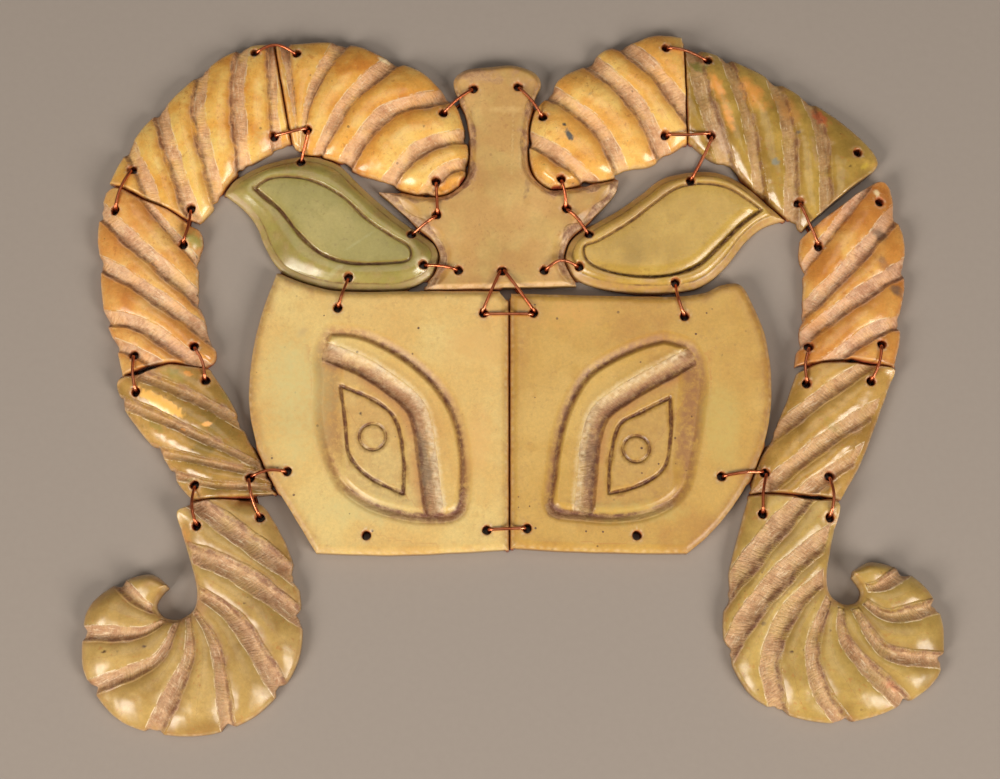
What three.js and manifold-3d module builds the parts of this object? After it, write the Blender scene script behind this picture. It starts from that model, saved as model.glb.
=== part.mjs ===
// A ram's-head face cover: fifteen carved jade plaques laced edge to edge with copper wire.
// Millimetres, +Z up. It lies face up on its flat back, with +Y towards the tops of the horns.
// Left and right are the viewer's. A horn runs from the brow out, down and round into its curl.
import * as THREE from "three";
import { mergeVertices } from "three/addons/utils/BufferGeometryUtils.js";
import Module from "manifold-3d";

const wasm = await Module();
wasm.setup();

// Driving dimensions
const horn = {
  crown: 7.2, // thickness along the middle of a horn plaque
  edge: 3.2, // thickness left at its two long edges
  swell: 0.6, // how far a broad ridge rises between two flutes
  broadRidge: 9,
  fluteDepth: 1.6,
  fluteShare: 0.62, // the most of the way to the next flute that a flute may fill
  rimDepth: 0.75, // a flute's depth at the long edges, as a share of its full depth
  notch: 1, // how far a flute bites into the outline
};
const face = { thickness: 5.6, bevel: 1.2 };
const forehead = { thickness: 5, bevel: 1.4 };
const ear = { points: 22, edge: 2.6, shoulder: 4.8, rim: 5.4, line: 4.5, panel: 5.3 };
const eye = { moatWidth: 3.4, moatDepth: 1, lidWidth: 5, lidDepth: 1.1, lineWidth: 1, lineDepth: 0.6 };
const pupil = { radius: 3.8, sides: 8 };
const drill = { radius: 1.5, sides: 5 };
const backGroove = { width: 2.3, depth: 1.7 }; // the V cut in the backs that takes each tie's back run
const wire = {
  radius: 0.42,
  sides: 4,
  legOffset: 0.56, // from a hole's centre to the wire that stands in it
  level: 0.55, // height of the back run
  lift: 0.25, // clearance over the stone
  arch: 0.3, // least rise between two holes
};
const slack = { outline: 0.3, relief: 0.4, bow: 0.5 }; // how far a facet may stray from its curve
const overshoot = 0.2; // how far a cutter stands proud of what it cuts
const onEdge = 0.05; // a point nearer than this to a long edge lies on it

// Each horn plaque: its long edge away from the face (far), its long edge towards it (near), and
// the stretches of its two seams on which a flute begins or ends. A flute's line runs far to near.
const hornPlaques = [
  {
    name: "left_horn_plaque_1",
    jade: "ochre",
    far: [[-70.5, 101], [-63.5, 101], [-54.5, 101.5], [-45.5, 100], [-36.5, 96], [-27.5, 92.5],
      [-21.5, 87], [-17, 82], [-14.5, 75], [-13, 67.5], [-14, 60]],
    near: [[-64.5, 69], [-62, 67.5], [-56.5, 66.3], [-51, 64.7], [-45.5, 61], [-39, 59],
      [-32.5, 56], [-26, 54.2], [-19.6, 54.9], [-16.2, 57]],
    flutes: [
      { width: 3, line: [[-67.5, 99], [-64.8, 82.5], [-62.8, 68.5]] },
      { width: 5.4, line: [[-52, 99], [-59.5, 84], [-62.5, 67.5]] },
      { width: 5.8, line: [[-36.5, 94], [-48, 82.5], [-57.5, 66.5]] },
      { width: 5.4, line: [[-22, 83.5], [-37.5, 78], [-49.5, 63.5]] },
      { width: 5, line: [[-15, 71.5], [-27, 67.5], [-37, 57.5]] },
      { width: 4.2, line: [[-13.5, 63], [-20, 60.5], [-26, 54]] },
    ],
    holes: [[-64, 97], [-60.5, 73.5], [-20.5, 78.5], [-22.5, 58]],
  },
  {
    name: "left_horn_plaque_2",
    jade: "ochre",
    far: [[-71.5, 101], [-79.5, 100], [-87.5, 96], [-95.5, 89.5], [-102.5, 82.5], [-110, 74.5],
      [-115.5, 65.5], [-119, 58]],
    near: [[-66, 70.5], [-73, 66.5], [-79.5, 62.5], [-84.5, 57.5], [-87.5, 51.5], [-92, 46]],
    nearEnd: [[-96, 47.5], [-104.5, 51.5], [-114.5, 56.5]],
    flutes: [
      { width: 3.2, line: [[-71.8, 99], [-71, 84], [-69.8, 68]] },
      { width: 4.8, line: [[-80.5, 98.5], [-81.5, 85.5], [-79.5, 62]] },
      { width: 4.8, line: [[-92.5, 90], [-93, 79.5], [-91, 69], [-87, 53.5]] },
      { width: 5.1, line: [[-104, 78], [-102, 70.5], [-94.5, 48.5]] },
      { width: 5.2, line: [[-112, 65.5], [-109.5, 60.5], [-105.5, 51.5]] },
    ],
    holes: [[-76.5, 97.5], [-70.5, 72], [-112, 61.5], [-94.5, 50]],
  },
  {
    name: "left_horn_plaque_3",
    jade: "ochre",
    farStart: [[-101.5, 49.4], [-110, 52.8], [-116.5, 56]],
    far: [[-120, 55], [-121.5, 48.5], [-122, 41], [-121, 33.5], [-120.5, 26], [-119, 17],
      [-116, 9.5], [-113.5, 0.5]],
    near: [[-95.5, 45.5], [-92, 43.5], [-91, 40], [-92, 35.5], [-92, 26], [-90, 17], [-88, 11.5],
      [-86.5, 7.5], [-87, 4.5], [-89, 3]],
    nearEnd: [[-93.5, 3], [-98.5, 4], [-105.5, 3]],
    flutes: [
      { width: 2.8, line: [[-107.5, 51.5], [-101, 43.5], [-92, 33.5]] },
      { width: 5.5, line: [[-120, 48], [-110, 38.5], [-91.5, 22.5]] },
      { width: 5.3, line: [[-120, 33], [-108.5, 26], [-89, 12.5]] },
      { width: 5.5, line: [[-118.5, 17], [-107, 14], [-92, 3.5]] },
      { width: 4.2, line: [[-115.5, 9], [-110.5, 7], [-103.5, 3]] },
    ],
    holes: [[-116.5, 49], [-96.5, 39], [-110, 6], [-92.5, 8.5]],
  },
  {
    name: "left_horn_plaque_4",
    jade: "olive",
    farStart: [[-99.5, 3], [-108, 0.5], [-114, -1]],
    far: [[-115, -3.5], [-112.5, -10], [-106.5, -18], [-101, -24], [-96.5, -31.5], [-92.5, -36]],
    near: [[-88, 2], [-82, -7], [-76.5, -18.5], [-71.8, -27], [-68.4, -34.3]],
    nearEnd: [[-74, -35], [-83, -35.5]],
    flutes: [
      { width: 4.4, line: [[-106.5, -0.5], [-93.5, -6], [-79.5, -13]] },
      { width: 4.7, line: [[-112, -8], [-97.5, -14.5], [-74.5, -25.5]] },
      { width: 3.7, line: [[-102.5, -22], [-90, -25], [-72, -29]] },
      { width: 3, line: [[-97, -29], [-85.5, -32], [-69, -32.5]] },
    ],
    holes: [[-109, -5], [-89, -1.5], [-91.5, -32], [-75.5, -30]],
  },
  {
    name: "left_horn_curl",
    jade: "olive",
    farStart: [[-87.5, -36.4], [-91, -37], [-93.4, -38.2], [-96.3, -39.8]],
    far: [[-95.5, -44.5], [-93.5, -51], [-91.5, -57.5], [-90.5, -62.5], [-91, -67], [-93.5, -69.5],
      [-96.5, -70.5], [-100, -69.5], [-102, -66.5], [-100.5, -63.5], [-98.5, -61.5]],
    near: [[-78.5, -36.1], [-73.4, -37], [-70.3, -39.8], [-64.5, -50.5], [-61, -63.5], [-60.5, -79], [-65.5, -90],
      [-76, -99.5], [-91.5, -103.5], [-110, -100], [-121, -88], [-123, -76.5], [-121, -66.5],
      [-113, -60], [-104, -57.5], [-99, -60.5]],
    flutes: [
      { width: 5.3, line: [[-90.5, -37.5], [-76.5, -47.5], [-63, -57.5]] },
      { width: 5.3, line: [[-93, -51], [-78, -57.5], [-61, -69.5]] },
      { width: 5.3, line: [[-90, -62.5], [-78, -71.5], [-66, -90.5]] },
      { width: 4.7, line: [[-91, -67.5], [-84, -79.5], [-80.5, -102]] },
      { width: 6, line: [[-92.5, -69.5], [-92, -82], [-101.5, -102.5]] },
      { width: 5.1, line: [[-95.5, -71], [-101.5, -82.5], [-120, -90]] },
      { width: 5.1, line: [[-98, -70], [-106, -74.5], [-122, -74.5]] },
      { width: 4, line: [[-101, -68.5], [-106, -66], [-112, -60.5]] },
    ],
    holes: [[-90.5, -44], [-72.5, -41.5]],
  },
  {
    name: "right_horn_plaque_1",
    jade: "ochre",
    far: [[50.5, 103], [42.5, 103.5], [35, 101], [27.5, 99], [22, 94.5], [14.5, 90.5], [11, 85.5],
      [7, 80.5], [5, 73], [5, 65.5], [7, 59.5], [11, 56.5]],
    near: [[51.5, 70.5], [47, 67.5], [40.5, 63.5], [34, 62.5], [29.5, 59.5], [22, 58], [15, 56.5]],
    flutes: [
      { width: 5.5, line: [[34, 99], [42, 91], [50.5, 79.5]] },
      { width: 5.5, line: [[23.5, 94.5], [36, 81.5], [45, 65]] },
      { width: 5.1, line: [[11.5, 85], [25, 73.5], [32, 61]] },
      { width: 5.1, line: [[5.5, 70.5], [14.5, 64.5], [23.5, 57]] },
    ],
    holes: [[45.5, 98.5], [45, 72], [9, 77.5], [14.2, 58.4]],
  },
  {
    name: "right_horn_plaque_2",
    jade: "olive",
    far: [[51.2, 99.7], [57.5, 98.5], [66, 95.5], [76, 90.5], [87, 84], [97, 77], [105, 69.5],
      [108, 64.5], [106.5, 61.5]],
    near: [[52.1, 71], [57.5, 66], [65, 62], [72, 55], [79.5, 48.5], [85, 43.5]],
    nearEnd: [[90, 48], [99.5, 56]],
    flutes: [
      { width: 5.5, line: [[54, 97.5], [57, 82.5], [63.5, 62.5]] },
      { width: 4, line: [[64, 94.5], [69, 78], [73.5, 53.5]] },
      { width: 4.6, line: [[78, 88], [81.5, 72], [82, 44.5]] },
      { width: 4, line: [[88, 82.5], [91.5, 69], [92, 50]] },
    ],
    holes: [[58, 95], [58.5, 72], [84, 51.5], [101.5, 66.5]],
  },
  {
    name: "right_horn_plaque_3",
    jade: "ochre",
    farStart: [[96.5, 50.5], [103, 55.5], [108.5, 58]],
    far: [[111.5, 56], [113, 48], [115, 41], [115, 33.5], [114.5, 25], [113, 17.5], [113, 11.5],
      [111, 3]],
    nearStart: [[90.5, 46]],
    near: [[84.5, 41], [84, 36], [85, 30.5], [85, 24.5], [84, 17], [83, 9.5], [82, 3]],
    nearEnd: [[88, 4], [98, 5]],
    flutes: [
      { width: 3.5, line: [[102.5, 54.5], [95, 44.5], [84, 31]] },
      { width: 5.3, line: [[112.5, 48.5], [100, 34], [84, 18]] },
      { width: 5.3, line: [[114.5, 32], [100, 22.5], [83, 10]] },
      { width: 4.9, line: [[113, 16], [103.5, 12], [92.5, 4]] },
    ],
    holes: [[89.5, 38.5], [107.5, 51.5], [86, 8.5], [107, 9]],
  },
  {
    name: "right_horn_plaque_4",
    jade: "olive",
    farStart: [[97.5, 3.5], [103.5, 3], [110.5, 2]],
    far: [[110, -1.5], [106, -12], [100.5, -25.5], [94.5, -36]],
    nearStart: [[89.5, 3.5]],
    near: [[82.5, 1], [79, -8.5], [74.5, -18], [70.5, -26.5], [68.5, -34]],
    nearEnd: [[77, -34], [88, -35]],
    flutes: [
      { width: 4.7, line: [[102.5, 2.5], [88.5, -7], [74.5, -18]] },
      { width: 5.1, line: [[106.5, -9], [90, -19.5], [71, -34.5]] },
      { width: 4.7, line: [[101, -22.5], [92.5, -28], [82.5, -35.5]] },
    ],
    holes: [[85, -2.5], [103.5, -2], [72.5, -28.5], [91, -29.5]],
  },
  {
    name: "right_horn_curl",
    jade: "olive",
    farStart: [[80, -35.5], [87, -36.5], [93.5, -37.5]],
    far: [[92.5, -44.5], [90.5, -54], [90, -59.5], [91, -63.5], [94.5, -66], [98, -65.5],
      [99.5, -63], [98.5, -60.5], [97, -58.5]],
    nearStart: [[74, -35]],
    near: [[68, -35], [64.5, -47], [61.5, -59], [60, -73.5], [62.5, -83.5], [69, -93], [81.5, -98.5],
      [95.5, -99.5], [111, -94.5], [121, -86.5], [123, -75], [120.5, -64.5], [113, -57],
      [103, -54], [97.5, -56.5]],
    flutes: [
      { width: 5.1, line: [[84, -36], [73, -47.5], [61, -63]] },
      { width: 5.1, line: [[92, -45.5], [78.5, -56.5], [67.5, -69], [61, -80.5]] },
      { width: 5.1, line: [[90, -57.5], [79, -68], [73, -82], [75.5, -97]] },
      { width: 4.7, line: [[90.5, -63.5], [85, -78], [87, -90.5], [94, -100]] },
      { width: 5.1, line: [[93.5, -66], [95, -78], [111, -94.5]] },
      { width: 4.7, line: [[96.5, -66], [105.5, -79.5], [122, -82]] },
      { width: 4.7, line: [[99, -64.5], [107, -69.5], [121, -66.5]] },
      { width: 4.4, line: [[98.5, -61.5], [104.5, -61], [112, -56.5]] },
    ],
    holes: [[71.5, -40.5], [90.8, -41.5]],
  },
];

// Ears: a leaf-shaped rim round an incised panel. The panel starts beside the leaf's first point.
const ears = [
  {
    name: "left_ear_plaque",
    jade: "green",
    outline: [[-84.8, 54.6], [-84, 56.5], [-80.8, 60], [-73.7, 63.7], [-66.7, 65.7], [-61, 66.4],
      [-56, 65.6], [-51, 63.4], [-46.8, 59.4], [-42.5, 55.1], [-36.8, 50.1], [-31.3, 45.7],
      [-27, 42.5], [-23.2, 39.7], [-21.8, 36.3], [-22.8, 32.7], [-25, 29.3], [-32.4, 26],
      [-42.2, 25.7], [-52, 26], [-59, 27.6], [-66, 30.4], [-69.7, 33.6], [-72.6, 38.4], [-75, 44.3],
      [-77.8, 48.6], [-81.3, 51.9]],
    panel: [[-76, 56], [-71.5, 59], [-65, 59.5], [-58, 58], [-50, 53.5], [-42.5, 46.5], [-36, 42],
      [-30.5, 38.5], [-30.5, 34.5], [-37.5, 33.5], [-47.5, 33.5], [-55.5, 36], [-62, 41.5],
      [-68, 49], [-72.5, 53]],
    holes: [[-62.5, 64.2], [-29.8, 42.3], [-26.2, 33.2], [-48, 29.4]],
  },
  {
    name: "right_ear_plaque",
    jade: "yellow",
    outline: [[80, 47], [74, 45], [68, 40], [63, 33.5], [57, 28], [49.5, 25.5], [38.5, 25], [28, 26],
      [19, 29], [16, 33], [15.5, 36.5], [17.5, 41], [22.5, 45], [31, 50], [38, 55], [44, 59.5],
      [52, 61.5], [60, 61.5], [67, 58.5], [73.5, 53]],
    panel: [[73, 49.5], [67, 45], [61, 39], [54.5, 33], [46.5, 30], [37, 29.5], [28, 31], [22, 34],
      [21, 38.5], [25.5, 40.5], [34.5, 46], [41.5, 51.5], [48, 56], [55, 57.5], [62.5, 56.5],
      [68.5, 53]],
    holes: [[52.3, 58.3], [22.4, 42.3], [19.5, 32.6], [47.5, 27.8]],
  },
];

// Flat plates: an outline of smooth runs that meet at corners.
const foreheadPlaque = {
  name: "forehead_plaque",
  jade: "khaki",
  outline: [
    [[-25.8, 25.9], [-24.3, 28.3], [-22.4, 31], [-21.2, 35.1], [-21.9, 38.3], [-24.1, 41.6],
      [-27.5, 44.6], [-31.6, 48.2], [-35.6, 51.9], [-39.5, 55.2]],
    [[-39.5, 55.2], [-33, 54.7], [-27.6, 53.8], [-23.6, 53.5], [-19.3, 54.2], [-15.7, 56.6],
      [-13.5, 59.6], [-12.6, 63], [-12.5, 67.5], [-12.8, 74], [-14, 79], [-15.8, 83.3], [-17.5, 89],
      [-14, 92.5], [-6.5, 93.5], [0, 94], [6, 92], [8.5, 88.5], [7.1, 85], [5.6, 80.5], [4.5, 74.5],
      [4.3, 68], [4.5, 63], [6.3, 59.2], [10.6, 55.9], [15, 55.9], [19.6, 56.4], [24, 57.5],
      [31.2, 58.8]],
    [[31.2, 58.8], [30.5, 55.6], [27.4, 51.4], [24, 48], [20, 44.6], [16.6, 41], [15, 37.3],
      [15, 34.3], [16.4, 31], [18.6, 27]],
    [[18.6, 27], [-25.8, 25.9]],
  ],
  holes: [[-11.6, 86.5], [1.6, 87.1], [-22.3, 48.1], [15.8, 50], [-15.9, 31.4], [9.2, 31.4], [-3.1, 31.2]],
};

// Face plates: the eye is a mound ringed by a moat, with a lid groove, an incised almond and a ring.
const facePlaques = [
  {
    name: "left_face_plaque",
    jade: "cream",
    outline: [
      [[-1.5, -50.5], [-1.5, 22]],
      [[-1.5, 22], [-4, 25]],
      [[-4, 25], [-27, 25.2], [-49, 25], [-59.5, 27], [-69, 30.5]],
      [[-69, 30.5], [-72.5, 20.5], [-75.5, 8], [-76.5, -6], [-74.5, -18.5], [-69.5, -30], [-63.2, -40.5],
        [-56.5, -51.5]],
      [[-56.5, -51.5], [-32.5, -52], [-1.5, -50.5]],
    ],
    moat: [[-53, 12.5], [-45.5, 12], [-38, 9], [-30, 4], [-22.5, -3], [-17.5, -11], [-15, -20.5],
      [-14.5, -30.5], [-16, -39.5], [-24, -41], [-32.5, -40], [-41.5, -37], [-49, -31], [-53, -22],
      [-55, -11.5], [-55, -1.5], [-55.5, 6]],
    lid: [[-52, 6], [-43.5, 2.5], [-35, -3], [-28.5, -9], [-26, -16], [-24.5, -26.5], [-23, -37.5]],
    almond: [
      [[-50, -3], [-48.5, -13], [-47, -23.5], [-41, -30], [-31.5, -34.5]],
      [[-31.5, -34.5], [-31.5, -25], [-33.5, -14], [-39, -8], [-50, -3]],
    ],
    pupilAt: [-40.5, -18],
    holes: [[-51, 20], [-8.5, 18.5], [-7.5, -45], [-65, -28], [-42, -46.5]],
  },
  {
    name: "right_face_plaque",
    jade: "cream",
    outline: [
      [[-0.5, -50], [-0.5, 24.5]],
      [[-0.5, 24.5], [19.5, 24], [43, 23.5], [55, 24.5], [61, 27], [66.5, 27], [70, 21], [73.5, 11.5],
        [75, -1], [74, -14], [70, -26.5], [64, -37], [56.5, -46], [50, -51.5]],
      [[50, -51.5], [36.5, -51.5], [16.5, -51], [-0.5, -50]],
    ],
    moat: [[44, 10.5], [37, 8.5], [28.5, 4.5], [21.5, -0.5], [16.5, -9], [13.5, -18.5], [12, -29],
      [11.5, -38.5], [20.5, -40.5], [30.5, -41], [40.5, -39], [48, -33.5], [51, -23.5],
      [53, -11.5], [54, -1], [51.5, 7.5]],
    lid: [[49.5, 4], [41, -0.5], [32.5, -5.5], [25.5, -11], [22.5, -19], [21.5, -28], [20.5, -38]],
    almond: [
      [[45.5, -6.5], [36.5, -11], [30.5, -15], [28, -25], [27.5, -34.5]],
      [[27.5, -34.5], [36.5, -32], [43.5, -27], [45.5, -17.5], [45.5, -6.5]],
    ],
    pupilAt: [35.5, -21.5],
    holes: [[6, 18.5], [50, 17.5], [60, -29.5], [4, -44.5], [35.5, -46.5]],
  },
];

// Wire ties: a name, then the two drilled holes that it joins, as a plaque and a hole number.
const ties = [
  ["tie_left_horn_1_2_upper", "left_horn_plaque_1", 0, "left_horn_plaque_2", 0],
  ["tie_left_horn_1_2_lower", "left_horn_plaque_1", 1, "left_horn_plaque_2", 1],
  ["tie_left_horn_1_ear", "left_horn_plaque_1", 1, "left_ear_plaque", 0],
  ["tie_left_horn_2_3_outer", "left_horn_plaque_2", 2, "left_horn_plaque_3", 0],
  ["tie_left_horn_2_3_inner", "left_horn_plaque_2", 3, "left_horn_plaque_3", 1],
  ["tie_left_horn_3_4_outer", "left_horn_plaque_3", 2, "left_horn_plaque_4", 0],
  ["tie_left_horn_3_4_inner", "left_horn_plaque_3", 3, "left_horn_plaque_4", 1],
  ["tie_left_horn_4_curl_outer", "left_horn_plaque_4", 2, "left_horn_curl", 0],
  ["tie_left_horn_4_curl_inner", "left_horn_plaque_4", 3, "left_horn_curl", 1],
  ["tie_left_horn_4_face", "left_horn_plaque_4", 3, "left_face_plaque", 3],
  ["tie_left_horn_1_forehead_upper", "left_horn_plaque_1", 2, "forehead_plaque", 0],
  ["tie_left_horn_1_forehead_lower", "left_horn_plaque_1", 3, "forehead_plaque", 2],
  ["tie_left_ear_forehead_upper", "left_ear_plaque", 1, "forehead_plaque", 2],
  ["tie_left_ear_forehead_lower", "left_ear_plaque", 2, "forehead_plaque", 4],
  ["tie_left_ear_face", "left_ear_plaque", 3, "left_face_plaque", 0],
  ["tie_nose_left", "forehead_plaque", 6, "left_face_plaque", 1],
  ["tie_nose_right", "forehead_plaque", 6, "right_face_plaque", 0],
  ["tie_nose_across", "left_face_plaque", 1, "right_face_plaque", 0],
  ["tie_muzzle", "left_face_plaque", 2, "right_face_plaque", 3],
  ["tie_right_horn_1_forehead_upper", "right_horn_plaque_1", 2, "forehead_plaque", 1],
  ["tie_right_horn_1_forehead_lower", "right_horn_plaque_1", 3, "forehead_plaque", 3],
  ["tie_right_ear_forehead_upper", "right_ear_plaque", 1, "forehead_plaque", 3],
  ["tie_right_ear_forehead_lower", "right_ear_plaque", 2, "forehead_plaque", 5],
  ["tie_right_horn_1_2_upper", "right_horn_plaque_1", 0, "right_horn_plaque_2", 0],
  ["tie_right_horn_1_2_lower", "right_horn_plaque_1", 1, "right_horn_plaque_2", 1],
  ["tie_right_horn_2_ear", "right_horn_plaque_2", 1, "right_ear_plaque", 0],
  ["tie_right_horn_2_3_inner", "right_horn_plaque_2", 2, "right_horn_plaque_3", 0],
  ["tie_right_horn_3_4_inner", "right_horn_plaque_3", 2, "right_horn_plaque_4", 0],
  ["tie_right_horn_3_4_outer", "right_horn_plaque_3", 3, "right_horn_plaque_4", 1],
  ["tie_right_horn_4_face", "right_horn_plaque_4", 2, "right_face_plaque", 2],
  ["tie_right_horn_4_curl_inner", "right_horn_plaque_4", 2, "right_horn_curl", 0],
  ["tie_right_horn_4_curl_outer", "right_horn_plaque_4", 3, "right_horn_curl", 1],
  ["tie_right_ear_face", "right_ear_plaque", 3, "right_face_plaque", 1],
];

// Stone and metal
const jadeColours = {
  ochre: 0xdca255,
  olive: 0xb39b58,
  green: 0xa0a260,
  yellow: 0xc4ac5a,
  khaki: 0xc6a568,
  cream: 0xdcc384,
};
const jades = {};
for (const [name, color] of Object.entries(jadeColours)) {
  jades[name] = new THREE.MeshStandardMaterial({ color, roughness: 0.35, metalness: 0 });
}
const copper = new THREE.MeshStandardMaterial({ color: 0xc4703f, roughness: 0.35, metalness: 1 });

const origin = new THREE.Vector2();
const vector = ([x, y]) => new THREE.Vector2(x, y);
const raised = (point, z) => new THREE.Vector3(point.x, point.y, z);
const mix = (a, b, share) => a + (b - a) * share;

// A run of points becomes a smooth curve; a run of two stays straight.
function smoothRun(points) {
  const run = points.map(vector);
  return run.length < 3 ? run : new THREE.SplineCurve(run).getSpacedPoints(run.length * 6);
}

// A path of smooth runs that meet at corners, measured along its length.
class Chain {
  constructor(runs) {
    this.points = [];
    const joints = [];
    for (const run of runs.filter((points) => points.length > 1)) {
      const part = smoothRun(run);
      if (this.points.length) {
        joints.push(this.points.length - 1);
        part.shift();
      }
      this.points.push(...part);
    }
    this.reach = [0];
    for (let i = 1; i < this.points.length; i++) {
      this.reach.push(this.reach[i - 1] + this.points[i].distanceTo(this.points[i - 1]));
    }
    this.length = this.reach.at(-1);
    this.corners = joints.map((i) => this.reach[i]);
  }

  at(reach) {
    const i = Math.max(1, this.reach.findIndex((r, k) => k > 0 && r >= reach - 1e-6));
    const share = (reach - this.reach[i - 1]) / (this.reach[i] - this.reach[i - 1]);
    return this.points[i - 1].clone().lerp(this.points[i], THREE.MathUtils.clamp(share, 0, 1));
  }

  tangent(reach) {
    const step = 0.5;
    const ahead = this.at(Math.min(reach + step, this.length));
    return ahead.sub(this.at(Math.max(reach - step, 0))).normalize();
  }

  nearest(point) {
    const steps = Math.ceil(this.length / 0.1);
    let best = 0;
    for (let i = 0; i <= steps; i++) {
      const reach = (this.length * i) / steps;
      if (this.at(reach).distanceTo(point) < this.at(best).distanceTo(point)) best = reach;
    }
    return best;
  }

  distance(point) {
    return this.at(this.nearest(point)).distanceTo(point);
  }
}

// A closed loop of runs with only the points that its shape needs.
function loopOf(runs, tolerance) {
  const loop = [];
  for (const run of runs) loop.push(...thin(smoothRun(run), tolerance).slice(0, -1));
  return loop;
}

// Drops the points that lie within the tolerance of the line through their neighbours.
function thin(points, tolerance) {
  const first = points[0];
  const last = points.at(-1);
  const along = last.clone().sub(first);
  let worst = 0;
  let at = 0;
  points.forEach((point, i) => {
    const off = point.clone().sub(first);
    const closed = along.length() < tolerance;
    const distance = closed ? off.length() : Math.abs(off.cross(along)) / along.length();
    if (distance > worst) {
      worst = distance;
      at = i;
    }
  });
  if (worst <= tolerance || points.length < 3) return [first, last];
  const head = thin(points.slice(0, at + 1), tolerance);
  return [...head.slice(0, -1), ...thin(points.slice(at), tolerance)];
}

function geometryOf(points, faces) {
  const positions = points.flatMap((point) => [point.x, point.y, point.z]);
  const geometry = new THREE.BufferGeometry();
  geometry.setAttribute("position", new THREE.Float32BufferAttribute(positions, 3));
  geometry.setIndex(faces.flat());
  return geometry;
}

// Joins a row of closed sections that have the same number of points into one closed body.
function loft(sections, { ring = false, cap = fanOf } = {}) {
  const count = sections[0].length;
  const faces = [];
  const steps = ring ? sections.length : sections.length - 1;
  for (let i = 0; i < steps; i++) {
    const here = i * count;
    const next = ((i + 1) % sections.length) * count;
    for (let k = 0; k < count; k++) {
      const m = (k + 1) % count;
      faces.push([here + k, here + m, next + m], [here + k, next + m, next + k]);
    }
  }
  if (!ring) {
    const end = (sections.length - 1) * count;
    faces.push(...cap(sections[0]).map(([a, b, c]) => [c, b, a]));
    faces.push(...cap(sections.at(-1)).map(([a, b, c]) => [end + a, end + b, end + c]));
  }
  return solidOf(geometryOf(sections.flat(), faces));
}

function fanOf(section) {
  return section.slice(2).map((_, i) => [0, i + 1, i + 2]);
}

// Triangles over a level loop, turned the way the loop runs.
function levelCap(section) {
  const faces = THREE.ShapeUtils.triangulateShape(section, []);
  return THREE.ShapeUtils.isClockWise(section) ? faces.map(([a, b, c]) => [a, c, b]) : faces;
}

// A geometry as a solid, facing outwards, with its doubled points merged and empty faces dropped.
function solidOf(geometry) {
  const bare = new THREE.BufferGeometry();
  bare.setAttribute("position", geometry.getAttribute("position"));
  bare.setIndex(geometry.index);
  const merged = mergeVertices(bare, 1e-3);
  const corner = (i) => new THREE.Vector3().fromBufferAttribute(merged.attributes.position, i);
  const faces = [];
  let volume = 0;
  for (let i = 0; i < merged.index.count; i += 3) {
    const [a, b, c] = [0, 1, 2].map((k) => merged.index.getX(i + k));
    if (a === b || b === c || a === c) continue;
    faces.push([a, b, c]);
    volume += corner(a).dot(corner(b).cross(corner(c)));
  }
  const triVerts = new Uint32Array(faces.flatMap(([a, b, c]) => (volume < 0 ? [a, c, b] : [a, b, c])));
  const vertProperties = merged.attributes.position.array;
  return new wasm.Manifold(new wasm.Mesh({ numProp: 3, vertProperties, triVerts }));
}

function meshOf(solid, name, material) {
  const { vertProperties, triVerts } = solid.getMesh();
  const geometry = new THREE.BufferGeometry();
  geometry.setAttribute("position", new THREE.BufferAttribute(vertProperties, 3));
  geometry.setIndex(new THREE.BufferAttribute(triVerts, 1));
  geometry.computeVertexNormals();
  const mesh = new THREE.Mesh(geometry, material);
  mesh.name = name;
  return mesh;
}

// Where a horn plaque's rows have points between its two long edges: two shoulders and the crown.
const lanes = [0.14, 0.5, 0.86];
const steepest = 0.45; // sine of the least angle between a flute and an edge that it is spread along

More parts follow.
